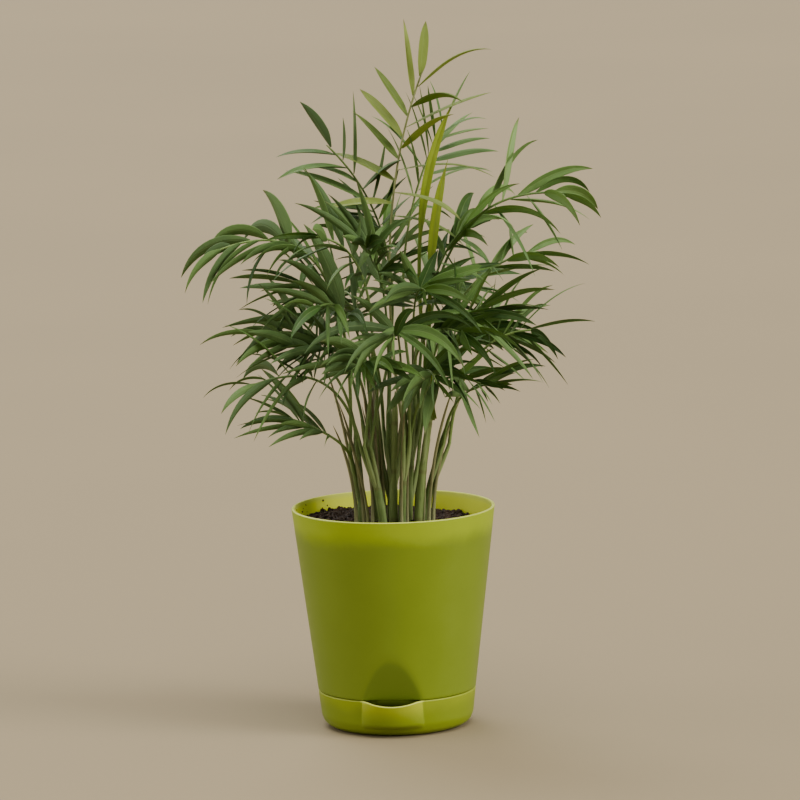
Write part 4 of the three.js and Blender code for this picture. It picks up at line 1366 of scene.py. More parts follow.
FRONDS = (
    Leaf("crown", "centre", (2, 2, 154), (20, 3, 234), leaves=14, longest=44, wide=6, lift=2, roll=56,
         droop=1.3, spread=49, age=LeafAge.YOUNG, bow=0.55, slim=0.92, fan=1.95, uneven=0.36,
         tilt=0.0, blunt=3.4, paired=0.0, least=1.03, scatter=12.0),
    Leaf("crown_left", "back_left", (1, 12, 134), (-30, 17, 196), bare=0.62, roll=-38, lift=4, longest=38,
         slim=0.95, paired=0.7),
    Leaf("crown_right", "inner_right", (9, 8, 140), (31, 12, 206), bare=0.66, roll=40, lift=4, longest=38,
         droop=1.1, age=LeafAge.BRIGHT),
    Leaf("arch_left", "left", (-34, 0, 133), (-88, -8, 145), leaves=13, wide=8.5, longest=42, droop=1.5,
         lift=0, bow=1.1, slim=0.7, tilt=20.0, paired=0.2),
    Leaf("arch_right", "right", (34, -2, 144), (94, -4, 170), leaves=15, longest=44, spread=52, droop=1.4,
         lift=4, age=LeafAge.BRIGHT, bow=1.05, slim=0.86, tilt=24.0, paired=0.1),
    Leaf("arch_back_right", "inner_right", (38, 12, 116), (78, 20, 138), longest=38, droop=1.2,
         age=LeafAge.BRIGHT, slim=0.66, tilt=24.0, paired=0.2),
    Leaf("upper_left", "lean", (-11, -12, 124), (-38, -26, 154), wide=9, longest=40, droop=1.2),
    Leaf("upper_right", "back_right", (24, 2, 122), (44, -8, 156), wide=8, droop=1.1),
    Leaf("inner_left", "back", (-16, 12, 108), (-50, 10, 124), wide=7.5),
    Leaf("side_left", "left", (-30, -6, 82), (-62, -14, 101), longest=40, wide=8.5, droop=1.1),
    Leaf("side_right", "far_right", (44, -3, 86), (74, -8, 101), longest=40, bare=0.6, leaves=13, droop=1.3,
         paired=0.15),
    Leaf("low_left", "lean", (-35, -20, 78), (-72, -30, 78), longest=40, droop=1.3, wide=7.5,
         paired=0.3),
    Leaf("low_right", "far_right", (35, -10, 66), (52, -26, 76), longest=36, leaves=10, bare=0.6,
         paired=0.1),
    Leaf("lowest_left", "left", (-30, -12, 48), (-54, -16, 60), longest=38, leaves=10, wide=6,
         paired=0.35),
    Leaf("upper_middle", "centre", (-2, -3, 118), (-14, -22, 150), wide=8.5),
    Leaf("middle_high", "inner_right", (13, -9, 112), (19, -38, 126), wide=8.5),
    Leaf("front", "front", (5, -21, 98), (2, -54, 102), wide=9, longest=44, droop=1.4),
    Leaf("front_right", "front", (16, -19, 96), (38, -40, 104), wide=9, droop=1.2),
    Leaf("front_left", "lean", (-7, -24, 84), (-20, -54, 88), wide=8.5, droop=1.1),
    Leaf("front_low_right", "front", (22, -20, 76), (46, -36, 78), wide=8, paired=0.2),
    Leaf("front_low_middle", "centre", (10, -20, 80), (18, -50, 80), wide=8),
    Leaf("front_upper_left", "back_left", (-18, -8, 106), (-38, -36, 118), wide=9, longest=44, droop=1.2),
    Leaf("front_upper_right", "right", (30, -14, 100), (54, -30, 114), wide=8, paired=0.3),
    Leaf("middle_left", "back_left", (-20, -2, 86), (-46, -20, 92), wide=8.5),
    Leaf("middle_right", "inner_right", (27, 0, 88), (52, 4, 98), wide=8, paired=0.2),
    Leaf("back_middle", "back", (1, 24, 122), (-4, 46, 148), wide=8),
    Leaf("back_left", "back", (-9, 28, 104), (-22, 58, 112), wide=8),
    Leaf("back_right", "back_right", (17, 30, 108), (28, 62, 116), wide=8),
    Leaf("back_far_left", "back_left", (-24, 20, 96), (-50, 42, 103), wide=7.5),
    Leaf("back_far_right", "back_right", (32, 24, 90), (56, 44, 96), wide=7.5),
)

SPEARS = (
    Leaf("spear_tall", "right", (17, -4, 150), (36, -6, 220), wide=5.2, age=LeafAge.SPEAR),
    Leaf("spear_short", "right", (22, -9, 130), (32, -10, 190), wide=5.6, age=LeafAge.SPEAR),
)

FOOT_TURNS = (0, 35, -35, 70, -70)
FOOT_DROPS = (2.5, 8, 14, 20, 26)
SIDESTEPS = (0, 3, -3, 6, -6, 9, -9, 13, -13, 18, -18, 24, -24)
LENGTHS = (1, 0.8, 0.62, 0.45, 0.3)
LIFTS = (0, 14, -14, 28, -28, 42, -42, 58)
SWINGS = (0, 12, -12, 24)
BLADE_STEPS = 12
MATCH = 0.02  # a corner is the same one within this many millimetres


class Corners:
    """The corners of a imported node, in millimetres."""

    def __init__(self, node: str) -> None:
        """Reads the node's corners.

        Args:
            node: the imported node's name.
        """
        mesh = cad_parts[node].data
        flat = np.zeros(len(mesh.vertices) * 3)
        mesh.vertices.foreach_get("co", flat)
        self.points = np.unique(flat.reshape(-1, 3).round(6), axis=0) / MM

    def miss(self, point: np.ndarray) -> float:
        """Returns how far the nearest corner is from a point."""
        return float(np.sqrt(((self.points - point) ** 2).sum(axis=1).min()))


@dataclass
class Stalk:
    """A leaf's stalk as it was found on its stem."""

    leaf: Leaf
    stem: CatmullRom
    arch: Arch
    outwards: np.ndarray
    drop: float
    rooted: np.ndarray  # from the stem's middle to the stalk's foot

    def sides(self, at: float, roll: float) -> tuple[np.ndarray, np.ndarray, np.ndarray]:
        """Returns the directions along the stalk, to its right and to its upper side.

        Args:
            at: the place on the stalk, from 0 to 1.
            roll: how far it is turned about itself, in degrees.

        Returns:
            The three unit directions.
        """
        along = self.arch.heading(at)
        right = turn_about(np.cross(UP, self.outwards), along, math.radians(roll))
        right = unit(right - along * np.dot(right, along))
        return along, right, np.cross(along, right)

    def ring(self, at: float, roll: float, half: float, high: float) -> list[np.ndarray]:
        """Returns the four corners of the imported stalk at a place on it.

        Args:
            at: the place, from 0 to 1.
            roll: its turn, in degrees.
            half: half its width.
            high: half its height.

        Returns:
            The corners.
        """
        _, right, upper = self.sides(at, roll)
        centre = self.arch.at(at)
        return [centre + right * x * half + upper * y * high for x, y in ((1, 1), (-1, 1), (-1, -1), (1, -1))]


def find_stalk(leaf: Leaf, corners: Corners, halves: tuple[float, float]) -> Stalk:
    """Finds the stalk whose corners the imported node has.

    Args:
        leaf: the leaf's plan.
        corners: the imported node's corners.
        halves: half the width at the foot and at the tip.

    Returns:
        The stalk that fits best of all that the part may have tried.
    """
    stem = SEEDLINGS[leaf.on].line()
    mid, tip, crown = drawn(*leaf.mid), drawn(*leaf.tip), stem.walked(1.0)
    outwards = unit((tip - crown) * (1, 1, 0))
    sideways = np.cross(UP, outwards)
    reach = STEM_TOP_RADIUS + PETIOLE_HALF * math.sqrt(2.0) + 2.0 * GAP
    roll = leaf.roll if leaf.age is not LeafAge.SPEAR else 0.0
    best, found = math.inf, None
    for sidestep in SIDESTEPS:
        for drop in FOOT_DROPS:
            out = reach + (STEM_RADIUS - STEM_TOP_RADIUS) * drop / stem.length
            for turn in FOOT_TURNS:
                rooted = turn_about(outwards, UP, math.radians(turn)) * out
                foot = stem.walked(1.0 - drop / stem.length) + rooted
                arch = Arch(foot, mid + sideways * sidestep, tip + sideways * sidestep)
                stalk = Stalk(leaf, stem, arch, outwards, drop, rooted)
                rings = stalk.ring(0.0, roll, halves[0], halves[0])
                if leaf.age is LeafAge.SPEAR:
                    rings.append(arch.at(1.0))
                else:
                    rings += stalk.ring(1.0, roll, halves[1], halves[1])
                miss = max(corners.miss(corner) for corner in rings)
                if miss < best:
                    best, found = miss, stalk
                if best < MATCH:
                    return found
    LOG.warning("%s: its stalk is %.2f mm off the packed one", leaf.name, best)
    return found


@dataclass
class Blade:
    """A leaflet as it is grown: its middle line and its upper side."""

    line: np.ndarray
    upper: np.ndarray
    along: np.ndarray
    half: np.ndarray
    tone: float


@dataclass(frozen=True)
class LeafletPlan:
    """Where a leaflet stands on its rachis and how it starts out."""

    at: float
    side: int
    length: float
    width: float
    spread: float
    lift: float
    seed: float

    @staticmethod
    def of(leaf: Leaf, number: int, i: int) -> "LeafletPlan":
        """Returns the plan of leaflet `i` of frond `number`.

        Args:
            leaf: the frond's plan.
            number: the frond's place in the list.
            i: the leaflet's place on the frond, from the foot.

        Returns:
            The plan.
        """
        start = lerp(leaf.bare, 1.0, i / leaf.leaves)
        end = lerp(leaf.bare, 1.0, (i + 1) / leaf.leaves)
        q = i / (leaf.leaves - 1)
        bulge = 0.58 + 0.42 * math.sin(math.pi * (0.12 + 0.8 * q))
        seed = 5 * number + i
        spread = leaf.spread * (1.0 - 0.4 * q) + 9.0 * wobble(seed + 0.5)
        return LeafletPlan(
            at=0.5 * (start + end),
            side=1 if (i + number) % 2 else -1,
            length=leaf.longest * bulge * (1.0 + 0.14 * wobble(seed)),
            width=leaf.wide * (0.6 + 0.4 * bulge),
            spread=0.34 * leaf.spread if i >= leaf.leaves - 2 else spread,
            lift=leaf.lift + 14.0 * wobble(seed + 0.25),
            seed=seed,
        )

    def walk(self, stalk: Stalk, trial: tuple[float, float, float], steps: int) -> tuple[np.ndarray, np.ndarray]:
        """Walks the leaflet's middle line as the part does.

        Args:
            stalk: the stalk that it stands on.
            trial: its share of the full length, and the extra lift and swing.
            steps: how many steps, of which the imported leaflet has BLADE_STEPS.

        Returns:
            The points of the line and the upper side at each.
        """
        share, lift_more, swing = trial
        along, right, upper = stalk.sides(self.at, stalk.leaf.roll)
        spread, lift = math.radians(self.spread + swing), math.radians(self.lift + lift_more)
        heading = along * math.cos(spread) + right * self.side * math.sin(spread) * math.cos(lift)
        heading = heading + upper * math.sin(spread) * math.sin(lift)
        point = stalk.arch.at(self.at) + right * self.side * stalk.leaf.half(self.at)
        across, points, uppers = along, [], []
        for _ in range(steps + 1):
            across = unit(across - heading * np.dot(across, heading))
            points.append(point)
            uppers.append(np.cross(across, heading) * self.side)
            point = point + heading * (self.length * share / BLADE_STEPS)
            heading = unit(heading - UP * (stalk.leaf.droop / BLADE_STEPS))
        return np.array(points), np.array(uppers)

    def find(self, stalk: Stalk, corners: Corners) -> Optional[tuple[float, float, float]]:
        """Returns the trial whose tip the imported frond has, or None if it has none.

        Args:
            stalk: the stalk that it stands on.
            corners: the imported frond's corners.

        Returns:
            The share of the length and the extra lift and swing, or None.
        """
        for share in LENGTHS:
            for lift in LIFTS:
                for swing in SWINGS:
                    trial = (share, lift, swing)
                    points, _ = self.walk(stalk, trial, BLADE_STEPS)
                    if corners.miss(points[-1]) < MATCH:
                        return trial
        return None


# ---- the plant
def line_mesh(name: str, blades: Sequence[Blade]) -> bpy.types.Object:
    """Makes a mesh of lines whose points keep what the sweep needs.

    Args:
        name: the object's name.
        blades: the lines, in millimetres.

    Returns:
        The object; `half` is kept in metres.
    """
    edges, first = [], 0
    for blade in blades:
        edges += [(first + i, first + i + 1) for i in range(len(blade.line) - 1)]
        first += len(blade.line)
    made = mesh_object(name, np.concatenate([blade.line for blade in blades]), (), edges)
    kept = {
        "half": np.concatenate([blade.half for blade in blades]) * MM,
        "along": np.concatenate([blade.along for blade in blades]),
        "tone": np.concatenate([np.full(len(blade.line), blade.tone) for blade in blades]),
    }
    for key, values in kept.items():
        made.data.attributes.new(key, "FLOAT", "POINT").data.foreach_set("value", values)
    upper = np.concatenate([blade.upper for blade in blades])
    made.data.attributes.new("upper", "FLOAT_VECTOR", "POINT").data.foreach_set("vector", upper.ravel())
    return made


def square_up(line: np.ndarray, upper: np.ndarray) -> np.ndarray:
    """Returns the upper sides made square to the line's own direction."""
    heading = unit(np.gradient(line, axis=0))
    return unit(upper - heading * np.sum(upper * heading, axis=1, keepdims=True))


def swept(
    shop: Workshop, name: str, blades: Sequence[Blade], material: bpy.types.Material, **section: float
) -> bpy.types.Object:
    """Sweeps a section along lines.

    Args:
        shop: the workshop.
        name: the piece's name.
        blades: the lines.
        material: its material.
        section: the sweep tree's inputs.

    Returns:
        The swept object, facing out.
    """
    made = grown_by(line_mesh("drawn_lines", blades), shop.sweep, {**section, "Material": material}, name)
    face_out(made)
    return made


@dataclass
class Frond:
    """A frond: its stalk, sheath and leaflets."""

    leaf: Leaf
    number: int
    blade: bpy.types.Material
    skin: bpy.types.Material
    sheath: float = 24.0  # how far the stalk's foot clasps its stem
    clasp_half: float = 1.75  # half the stalk's width where it clasps
    steps: int = 13  # along a leaflet
    neck: float = 0.26  # a leaflet's width at its foot, against its widest
    widest: float = 0.30  # where it is widest
    broad: float = 1.45  # how much wider the odd broad leaflet is
    broad_above: float = 0.38
    turned: float = 26.0  # degrees that a frond may be turned about its stalk
    found: int = field(default=0, init=False)

    def stalk_line(self, stalk: Stalk) -> Blade:
        """Returns the stalk's line, from where it clasps the stem to its tip.

        Args:
            stalk: the stalk as it was found.

        Returns:
            The line and its widths.
        """
        line, half, upper = [], [], []
        clasp = min(self.sheath, 0.8 * (stalk.stem.length - STEM_BURIED - stalk.drop))
        for step in np.linspace(0.0, 1.0, 10)[:-1]:
            below = stalk.drop + clasp * (1.0 - step)
            away = lerp(0.35, 1.0, float(smooth_step(0.0, 1.0, np.array(step))))
            line.append(stalk.stem.walked(1.0 - below / stalk.stem.length) + stalk.rooted * away)
            swell = float(smooth_step(-0.08, 0.36, np.array(step)))
            half.append(lerp(self.clasp_half, PETIOLE_HALF, step) * lerp(0.3, 1.0, swell))
            upper.append(-unit(stalk.rooted))
        for at in np.linspace(0.0, 1.0, 34):
            line.append(stalk.arch.at(float(at)))
            half.append(self.leaf.half(float(at)) * (1.0 if at < 0.99 else 0.55))
            upper.append(stalk.sides(float(at), self.leaf.roll)[2])
        along = np.linspace(0.0, 1.0, len(line))
        line = np.array(line)
        return Blade(line, square_up(line, np.array(upper)), along, np.array(half), 0.5 + wobble(3.7 * self.number))

    def leaflet(self, stalk: Stalk, plan: LeafletPlan, trial: tuple[float, float, float]) -> Blade:
        """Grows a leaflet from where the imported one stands, with its own bow and twist.

        Args:
            stalk: the frond's stalk.
            plan: the leaflet's plan.
            trial: its share of the full length, and the extra lift and swing.

        Returns:
            The leaflet's line and widths.
        """
        share, lift_more, swing = trial
        own = [wobble(plan.seed * pace + pace) for pace in (1.9, 2.3, 3.1, 4.7, 5.9, 7.3)]
        uneven = self.leaf.uneven * plan.side
        roll = self.leaf.roll + self.leaf.tilt * stalk.outwards[0] + self.turned * wobble(2.7 * self.number + 0.3)
        along, right, upper = stalk.sides(plan.at, roll)
        q = (plan.at - self.leaf.bare) / (1.0 - self.leaf.bare)
        spread = math.radians(plan.spread * lerp(self.leaf.fan, 1.0, q) + swing + self.leaf.scatter * own[0])
        lift = math.radians(plan.lift + 0.7 * lift_more + 1.6 * self.leaf.scatter * own[1])
        heading = along * math.cos(spread) + right * plan.side * math.sin(spread) * math.cos(lift)
        heading = heading + upper * math.sin(spread) * math.sin(lift)
        length = plan.length * max(share, self.leaf.least) * (1.02 + 0.4 * own[2]) * (1.0 - 0.42 * uneven)
        bow = self.leaf.droop * self.leaf.bow * (1.0 + 1.1 * own[3]) * (1.0 - uneven)
        point = stalk.arch.at(plan.at) + right * plan.side * self.leaf.half(plan.at)
        across, line, uppers = along, [], []
        for step in range(self.steps + 1):
            across = unit(across - heading * np.dot(across, heading))
            line.append(point)
            uppers.append(np.cross(across, heading) * plan.side)
            point = point + heading * (length / self.steps)
            pull = bow * (0.35 + 1.3 * step / self.steps) / self.steps
            heading = unit(heading - UP * pull + along * (0.25 * own[4] + 0.12) / self.steps)
        line, places = np.array(line), np.linspace(0.0, 1.0, self.steps + 1)
        upper = square_up(line, np.array(uppers))
        ways = unit(np.gradient(line, axis=0))
        turns = 0.9 * own[5] + 1.1 * own[4] * places
        upper = np.array([turn_about(u, w, t) for u, w, t in zip(upper, ways, turns)])
        rise = lerp(self.neck, 1.0, np.sin(np.minimum(1.0, places / self.widest) * 0.5 * math.pi))
        fall = 1.0 - np.clip((places - self.widest) / (1.0 - self.widest), 0.0, 1.0) ** self.leaf.blunt
        wide = plan.width * self.leaf.slim * (1.0 + 0.3 * uneven) * (1.0 + 0.35 * own[1])
        wide *= self.broad if own[0] > self.broad_above else 1.0
        half = np.maximum(0.5 * wide * rise * fall, 0.07)
        return Blade(line, upper, places, half, 0.5 + wobble(plan.seed * 1.31 + 0.1))

    def build(self, shop: Workshop) -> bpy.types.Object:
        """Builds the frond.

        Args:
            shop: the workshop.

        Returns:
            The dressed piece.
        """
        node = f"frond_{self.leaf.name}"
        corners = Corners(node)
        ends = (self.leaf.half(0.0), self.leaf.half(1.0))
        stalk = find_stalk(self.leaf, corners, ends)
        blades = []
        for i in range(self.leaf.leaves):
            plan = LeafletPlan.of(self.leaf, self.number, i)
            trial = plan.find(stalk, corners)
            self.found += trial is not None
            trial = trial or (0.6, 60.0 * wobble(1.7 * plan.seed), 0.0)
            blades.append(self.leaflet(stalk, plan, trial))
            if 0.5 + wobble(3.3 * plan.seed + 0.6) < self.leaf.paired and i < self.leaf.leaves - 1:
                shift = 0.3 * (1.0 - self.leaf.bare) / self.leaf.leaves
                across = replace(plan, at=plan.at + shift, side=-plan.side, seed=plan.seed + 0.37)
                blades.append(self.leaflet(stalk, across, (max(trial[0], 0.62), 0.4 * trial[1], 0.0)))
        bare = swept(shop, "bare_stalk", [self.stalk_line(stalk)], self.skin, Sides=12, Fold=0.0, Thickness=0.85)
        blade = swept(shop, "leaf_blades", blades, self.blade, Sides=16, Fold=0.36, Thickness=0.08)
        return hand_over(joined(f"palm_{node}", [blade, bare]), self.slot(), node)

    def slot(self) -> str:
        """Returns the record's material slot for this frond."""
        return f"leaf_{self.leaf.age.name.lower()}"


@dataclass
class Spear:
    """A leaf that hasn't opened yet: a folded, pleated blade on a thin stalk."""

    leaf: Leaf
    blade: bpy.types.Material
    opens: float = 0.52  # where the blade starts
    steps: int = 48
    slim: float = 0.46  # half its width, against the plan's width

    def half(self, at: float) -> float:
        """Returns half the spear's width at a place on it.

        Args:
            at: the place, from 0 to 1.

        Returns:
            Half the width, in millimetres.
        """
        if at < self.opens:
            return PETIOLE_HALF
        blade = (at - self.opens) / (1.0 - self.opens)
        return lerp(PETIOLE_HALF, self.slim * self.leaf.wide, math.sin(math.pi * blade**0.72))

    def build(self, shop: Workshop) -> bpy.types.Object:
        """Builds the spear.

        Args:
            shop: the workshop.

        Returns:
            The dressed piece.
        """
        corners = Corners(self.leaf.name)
        stalk = find_stalk(self.leaf, corners, (PETIOLE_HALF, 0.0))
        places = np.linspace(0.0, 1.0, self.steps)
        line = np.array([stalk.arch.at(float(at)) for at in places])
        upper = square_up(line, np.array([stalk.sides(float(at), 0.0)[2] for at in places]))
        taper = 1.0 - smooth_step(0.86, 1.0, places)
        half = np.array([self.half(float(at)) for at in places]) * lerp(0.12, 1.0, taper)
        blades = [Blade(line, upper, places, half, 0.6)]
        section = {"Sides": 32, "Fold": 0.55, "Thickness": 0.34, "Pleats": 0.05}
        made = swept(shop, f"palm_{self.leaf.name}", blades, self.blade, **section)
        return hand_over(made, "spear_leaf", self.leaf.name)


@dataclass
class Stem:
    """A seedling's stem, wrapped in old sheaths, with scars where some have gone."""

    seedling: Seedling
    number: int
    skin: bpy.types.Material

    def build(self, shop: Workshop) -> bpy.types.Object:
        """Builds the stem.

        Args:
            shop: the workshop.

        Returns:
            The dressed piece.
        """
        node = f"stem_{self.seedling.name}"
        stem = self.seedling.line()
        places = np.linspace(0.0, 1.0, 60)
        line = np.array([stem.walked(float(at)) for at in places])
        beyond = unit(line[-1] - line[-3])
        line = np.concatenate([line, [line[-1] + beyond * far for far in (3.0, 7.0, 12.0)]])
        swell = np.cos(20.0 * places) ** 8
        half = lerp(STEM_RADIUS, STEM_TOP_RADIUS, places) * (0.97 + 0.05 * swell)
        half = np.concatenate([half, STEM_TOP_RADIUS * np.array([0.85, 0.55, 0.14])])
        along = np.concatenate([places, [1.0, 1.0, 1.0]])
        upper = square_up(line, np.tile(np.array([0.0, -1.0, 0.0]), (len(line), 1)))
        blades = [Blade(line, upper, along, half, 0.5 + wobble(2.1 * self.number))]
        made = swept(shop, f"palm_{node}", blades, self.skin, Sides=20, Fold=0.0, Thickness=1.0)
        return hand_over(made, "stem_skin", node)


@dataclass
class SpentStalks:
    """Thin stalks of older leaves that stand among the stems."""

    skin: bpy.types.Material
    count: int = 20
    shortest: float = 52.0
    longest: float = 96.0
    half: float = 0.85
    wide: float = 16.0  # the clump's half width and half depth
    deep: float = 8.5

    def line(self, number: int) -> Blade:
        """Returns the line of one stalk, which rises from the soil and leans out.

        Args:
            number: which stalk.

        Returns:
            The line and its widths.
        """
        own = [wobble(number * pace + pace) for pace in (1.3, 2.9, 4.1, 5.3)]
        angle = math.tau * (number / self.count + 0.1 * own[0])
        foot_x = self.wide * math.cos(angle) * (1.0 + own[1])
        foot_y = self.deep * math.sin(angle) * (1.0 + own[2])
        height = lerp(self.shortest, self.longest, own[3] + 0.5)
        foot = np.array([foot_x, foot_y, SOIL_LEVEL - 3.0])
        tip = drawn(1.75 * foot_x + 9.0 * own[2], 2.0 * foot_y, height)
        arch = Arch(foot, lerp(foot, tip, 0.5) * (0.88, 0.85, 1.0) + 2.0 * UP, tip)
        places = np.linspace(0.0, 1.0, 26)
        line = np.array([arch.at(float(at)) for at in places])
        upper = square_up(line, np.tile(np.array([math.cos(angle), math.sin(angle), 0.3]), (len(line), 1)))
        half = self.half * (1.5 - 0.5 * np.minimum(1.0, places * 4.0)) * (1.0 - 0.9 * places**5)
        return Blade(line, upper, places, half, 0.5 + own[1])

    def build(self, shop: Workshop) -> bpy.types.Object:
        """Builds the stalks.

        Args:
            shop: the workshop.

        Returns:
            The dressed piece.
        """
        blades = [self.line(number) for number in range(self.count)]
        made = swept(shop, "spent_stalks", blades, self.skin, Sides=10, Fold=0.0, Thickness=0.85)
        return hand_over(made, "stem_skin")


# ---- soil, wick
@dataclass
class PottingSoil:
    """The soil that fills the pot, heaped to the left and the back, with loose crumbs."""

    pot: Pot
    finish: SoilFinish
    crumbs: SoilFinish

    def surface(self, x: np.ndarray, y: np.ndarray) -> np.ndarray:
        """Returns the soil's height at a place."""
        waves = np.sin(x / 9.0 + 1.1) * np.cos(y / 8.0) + 0.5 * np.sin((x + 2.0 * y) / 7.0)
        return SOIL_LEVEL + HEAP * (0.25 * waves + (0.5 * y - x) / (1.2 * RIM_RADIUS))

    def top_rows(self, turns: np.ndarray, edge: np.ndarray, count: int) -> list[tuple]:
        """Returns rows over the surface, from the middle out to `edge`.

        Args:
            turns: radians from the front.
            edge: the outermost radius in each.
            count: how many rows, with the middle.

        Returns:
            The rows.
        """
        rows = []
        for share in np.linspace(0.0, 1.0, count)[1:]:
            radius = edge * share
            x, y = radius * np.cos(FRONT + turns), radius * np.sin(FRONT + turns)
            lumps = 0.8 * ripple(x, y, 0.0 * x, 7.0) + 0.45 * ripple(y, x, 0.0 * x + 3.0, 2.6)
            rows.append((radius, self.surface(x, y) + lumps * (1.0 - 0.5 * share)))
        return rows

    def build(self, shop: Workshop) -> list[bpy.types.Object]:
        """Builds the body of soil, its crumbs, its grit and what clings to the wall.

        Args:
            shop: the workshop.

        Returns:
            The dressed pieces.
        """
        turns = compass(dense=180.0, step=2.25, coarse=2.25)
        edge = self.pot.wall(turns, SOIL_LEVEL, WALL + GAP)
        floor = FLOOR_TOP + GAP
        top = self.top_rows(turns, edge, 56)
        rows = [(0.0, floor), (20.0, floor), (self.pot.skirt(turns, floor, WALL + GAP), floor)]
        rows.append((self.pot.skirt(turns, SEAM + WALL, WALL + GAP), SEAM + WALL + GAP))
        rows += [(self.pot.wall(turns, z, WALL + GAP), z) for z in (22.0, 27.0, 33.0, 40.0, 60.0, 80.0, 96.0)]
        rows += [*top[::-1], (0.0, float(self.surface(np.array(0.0), np.array(0.0))))]
        soil = lathe("soil_heap", turns, rows)
        soil.data.materials.append(self.finish.build(shop))
        shade_smooth(soil, 50.0)
        loose = self.crumbs.build(shop)
        pieces = [hand_over(soil, "potting_soil", "soil")]
        for name, values in (
            ("soil_crumbs", {"Density": 1.9e5, "Smallest": 0.0006, "Largest": 0.0019, "Facets": 2, "Seed": 5}),
            ("soil_grit", {"Density": 5.0e5, "Smallest": 0.0003, "Largest": 0.0008, "Facets": 1, "Seed": 9}),
        ):
            sheet = self.sheet("strewn_sheet", turns, self.top_rows(turns, edge - 1.0, 24))
            made = grown_by(sheet, shop.scatter, {**values, "Material": loose}, name)
            pieces.append(hand_over(made, "potting_soil"))
        patch = self.wall_patch()
        values = {"Density": 5.5e4, "Smallest": 0.0002, "Largest": 0.0006, "Facets": 1, "Seed": 3}
        made = grown_by(patch, shop.scatter, {**values, "Material": loose}, "soil_splashes")
        pieces.append(hand_over(made, "potting_soil"))
        return pieces

    def sheet(self, name: str, turns: np.ndarray, rows: Sequence[tuple]) -> bpy.types.Object:
        """Returns an open sheet over the surface, for crumbs to be strewn on.

        Args:
            name: the sheet's name.
            turns: radians from the front.
            rows: its rows, from the middle out.

        Returns:
            The sheet.
        """
        count, faces = len(turns), []
        for k in range(len(rows) - 1):
            low, high = k * count, (k + 1) * count
            faces += [(low + i, high + i, high + (i + 1) % count, low + (i + 1) % count) for i in range(count)]
        return mesh_object(name, row_points(turns, rows), faces)

    def wall_patch(self) -> bpy.types.Object:
        """Returns an open patch of the pot's inside, at the left and the back.

        Returns:
            The patch.
        """
        turns = np.radians(np.linspace(-150.0, -80.0, 30))
        rows = [(self.pot.wall(turns, z, WALL + 0.1), np.full(len(turns), z)) for z in (105.0, 107.0, 109.5, 112.0)]
        count = len(turns)
        faces = [
            (k * count + i, k * count + i + 1, (k + 1) * count + i + 1, (k + 1) * count + i)
            for k in range(len(rows) - 1)
            for i in range(count - 1)
        ]
        return mesh_object("wall_patch", row_points(turns, rows), faces)


@dataclass
class Wick:
    """The wick: three strands laid round each other."""

    finish: WickFibre
    strands: int = 3
    lay: float = 14.0  # millimetres for one turn

    def build(self, shop: Workshop) -> bpy.types.Object:
        """Builds the wick.

        Args:
            shop: the workshop.

        Returns:
            The dressed piece.
        """
        heights = np.linspace(BASE_FLOOR + GAP, WICK_TOP, 90)
        away = 0.5 * WICK_RADIUS
        blades = []
        for strand in range(self.strands):
            angle = math.tau * (strand / self.strands + heights / self.lay)
            line = np.stack([away * np.cos(angle), away * np.sin(angle), heights], axis=1)
            out = np.stack([np.cos(angle), np.sin(angle), 0.0 * angle], axis=1)
            half = np.full(len(line), 0.5 * WICK_RADIUS)
            blades.append(Blade(line, square_up(line, out), np.linspace(0.0, 1.0, len(line)), half, 0.5))
        made = swept(shop, "wick_twist", blades, self.finish.build(shop), Sides=14, Fold=0.0, Thickness=1.0)
        return hand_over(made, "wick_fibre", "wick")


# ---- studio
@dataclass(frozen=True)
class Lamp:
    """A soft light that is far away, so that it lights the whole floor alike."""

    name: str
    place: tuple[float, float, float]
    strength: float
    colour: Colour
    softness: float = 28.0  # degrees across, as seen from the plant

    def build(self, aim: Vector) -> None:
        """Hangs the light and points it at `aim`.

        Args:
            aim: where it looks.
        """
        data = bpy.data.lights.new(self.name, "SUN")
        data.energy, data.color, data.angle = self.strength, self.colour, math.radians(self.softness)
        lamp = bpy.data.objects.new(self.name, data)
        lamp.location = self.place
        lamp.rotation_euler = (aim - Vector(self.place)).to_track_quat("-Z", "Y").to_euler()
        bpy.context.scene.collection.objects.link(lamp)


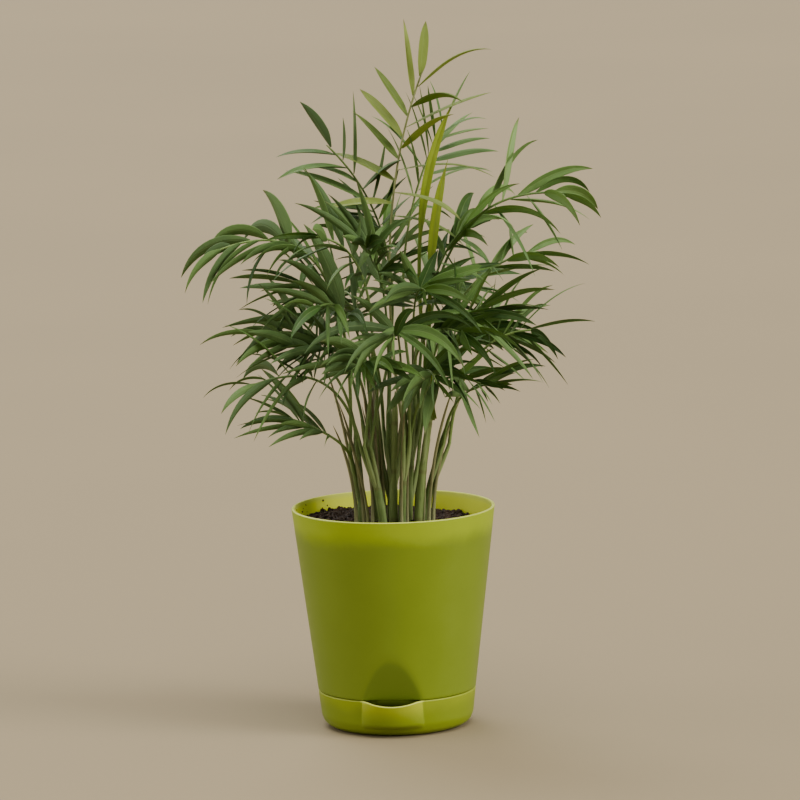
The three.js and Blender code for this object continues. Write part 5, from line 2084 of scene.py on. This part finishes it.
@dataclass
class Studio:
    """The floor, the lights and the camera."""

    paper: StudioPaper
    aim: tuple[float, float, float] = (0.00483, 0.0, 0.1691)
    distance: float = 3.0
    elevation: float = 8.5
    tilt: float = 1.3  # degrees that the camera rolls
    frame_width: float = 0.4117  # what the view spans at the plant
    sensor: float = 36.0
    floor_radius: float = 40.0
    haze: Colour = (1.0, 0.94, 0.86)  # the light that comes from all round
    haze_strength: float = 0.47
    lamps: tuple[Lamp, ...] = (
        Lamp("key_light", (2.2, -1.0, 1.4), 3.3, (1.0, 0.95, 0.88)),
        Lamp("side_light", (-2.1, 0.1, 0.9), 1.6, (1.0, 0.96, 0.90), 50.0),
        Lamp("top_light", (0.2, -0.6, 2.0), 2.65, (1.0, 0.97, 0.92), 40.0),
        Lamp("back_light", (-0.5, 1.0, 1.3), 2.2, (1.0, 0.97, 0.90), 40.0),
    )

    def build(self, shop: Workshop) -> None:
        """Builds the studio round the plant.

        Args:
            shop: the workshop.
        """
        self.build_floor(shop)
        for lamp in self.lamps:
            lamp.build(Vector(self.aim))
        world = bpy.data.worlds.new("soft_room")
        world.use_nodes = True
        sky = world.node_tree.nodes["Background"]
        sky.inputs["Color"].default_value = (*self.haze, 1.0)
        sky.inputs["Strength"].default_value = self.haze_strength
        bpy.context.scene.world = world
        self.build_camera()

    def build_floor(self, shop: Workshop) -> None:
        """Builds the floor: a wide disc that the object stands on.

        Args:
            shop: the workshop.
        """
        turns = np.linspace(0.0, math.tau, 96, endpoint=False)
        far = self.floor_radius / MM
        points = np.stack([far * np.cos(turns), far * np.sin(turns), np.full(len(turns), -0.2)], axis=1)
        floor = mesh_object("studio_floor", points, [tuple(range(len(turns)))])
        floor.data.materials.append(self.paper.build(shop))

    def build_camera(self) -> None:
        """Builds the camera in front of the plant, a little above it."""
        data = bpy.data.cameras.new("camera")
        data.sensor_width = self.sensor
        data.lens = self.sensor * self.distance / self.frame_width
        data.clip_start, data.clip_end = 0.05, 100.0
        camera = bpy.data.objects.new("camera", data)
        e, r = math.radians(self.elevation), math.radians(self.tilt)
        back = Vector((0.0, -math.cos(e), math.sin(e)))
        level, rise = Vector((1.0, 0.0, 0.0)), Vector((0.0, math.sin(e), math.cos(e)))
        right = level * math.cos(r) - rise * math.sin(r)
        over = level * math.sin(r) + rise * math.cos(r)
        turn = Matrix((right, over, back)).transposed()
        place = Vector(self.aim) + back * self.distance
        camera.matrix_world = Matrix.Translation(place) @ turn.to_4x4()
        bpy.context.scene.collection.objects.link(camera)
        bpy.context.scene.camera = camera


def main() -> None:
    """Builds the pot, the soil, the plant and the studio, in that order."""
    logging.basicConfig(level=logging.INFO, format="%(name)s %(message)s")
    shop = Workshop.equipped()
    # painted light of the inner face and the pouch, and painted highlight of thin edges
    inside, lit = (0.80, 0.86, 0.045), (0.70, 0.76, 0.16)
    # painted shade of the soil behind the pot's wall, and its colour where only air is behind
    own = {"filled": (0.222, 0.305, 0.019), "clear": (0.360, 0.470, 0.012), "bottom": 10.0, "top": 103.0}
    pot = Pot(MouldedPlastic("pot_plastic", **own, inside=inside, lit=lit))
    pot.build(shop)
    # painted shade of the water behind the base's wall, and its colour where only air is behind
    own = {"filled": (0.245, 0.325, 0.012), "clear": (0.330, 0.410, 0.012), "bottom": 1.0, "top": 16.0}
    ReservoirBase(MouldedPlastic("base_plastic", **own, inside=inside, lit=lit)).build(shop)
    Wick(WickFibre()).build(shop)
    crumbs = SoilFinish("soil_crumb", (0.008, 0.004, 0.0025), (0.050, 0.025, 0.012))
    PottingSoil(pot, SoilFinish("potting_soil"), crumbs).build(shop)
    bark = StemSkin("stem_skin", scars=0.4).build(shop)
    skin = StemSkin("stalk_skin", (0.055, 0.120, 0.022), (0.190, 0.290, 0.070)).build(shop)
    young_skin = StemSkin("young_stalk_skin", (0.170, 0.200, 0.060), (0.340, 0.370, 0.150)).build(shop)
    blades = {age: LeafFinish(age, green_foot=0.9 * (age is LeafAge.SPEAR)).build(shop) for age in LeafAge}
    for number, seedling in enumerate(SEEDLINGS.values()):
        Stem(seedling, number, bark).build(shop)
    spent_skin = StemSkin("spent_stalk_skin", (0.070, 0.055, 0.024), (0.240, 0.245, 0.105)).build(shop)
    SpentStalks(spent_skin).build(shop)
    for spear in SPEARS:
        Spear(spear, blades[spear.age]).build(shop)
    for number, leaf in enumerate(FRONDS):
        own = young_skin if leaf.age is LeafAge.YOUNG else skin
        frond = Frond(leaf, number, blades[leaf.age], own)
        frond.build(shop)
        LOG.info("frond_%s: %d of %d leaflets", leaf.name, frond.found, leaf.leaves)
    Studio(StudioPaper()).build(shop)


if __name__ == "__main__":
    main()
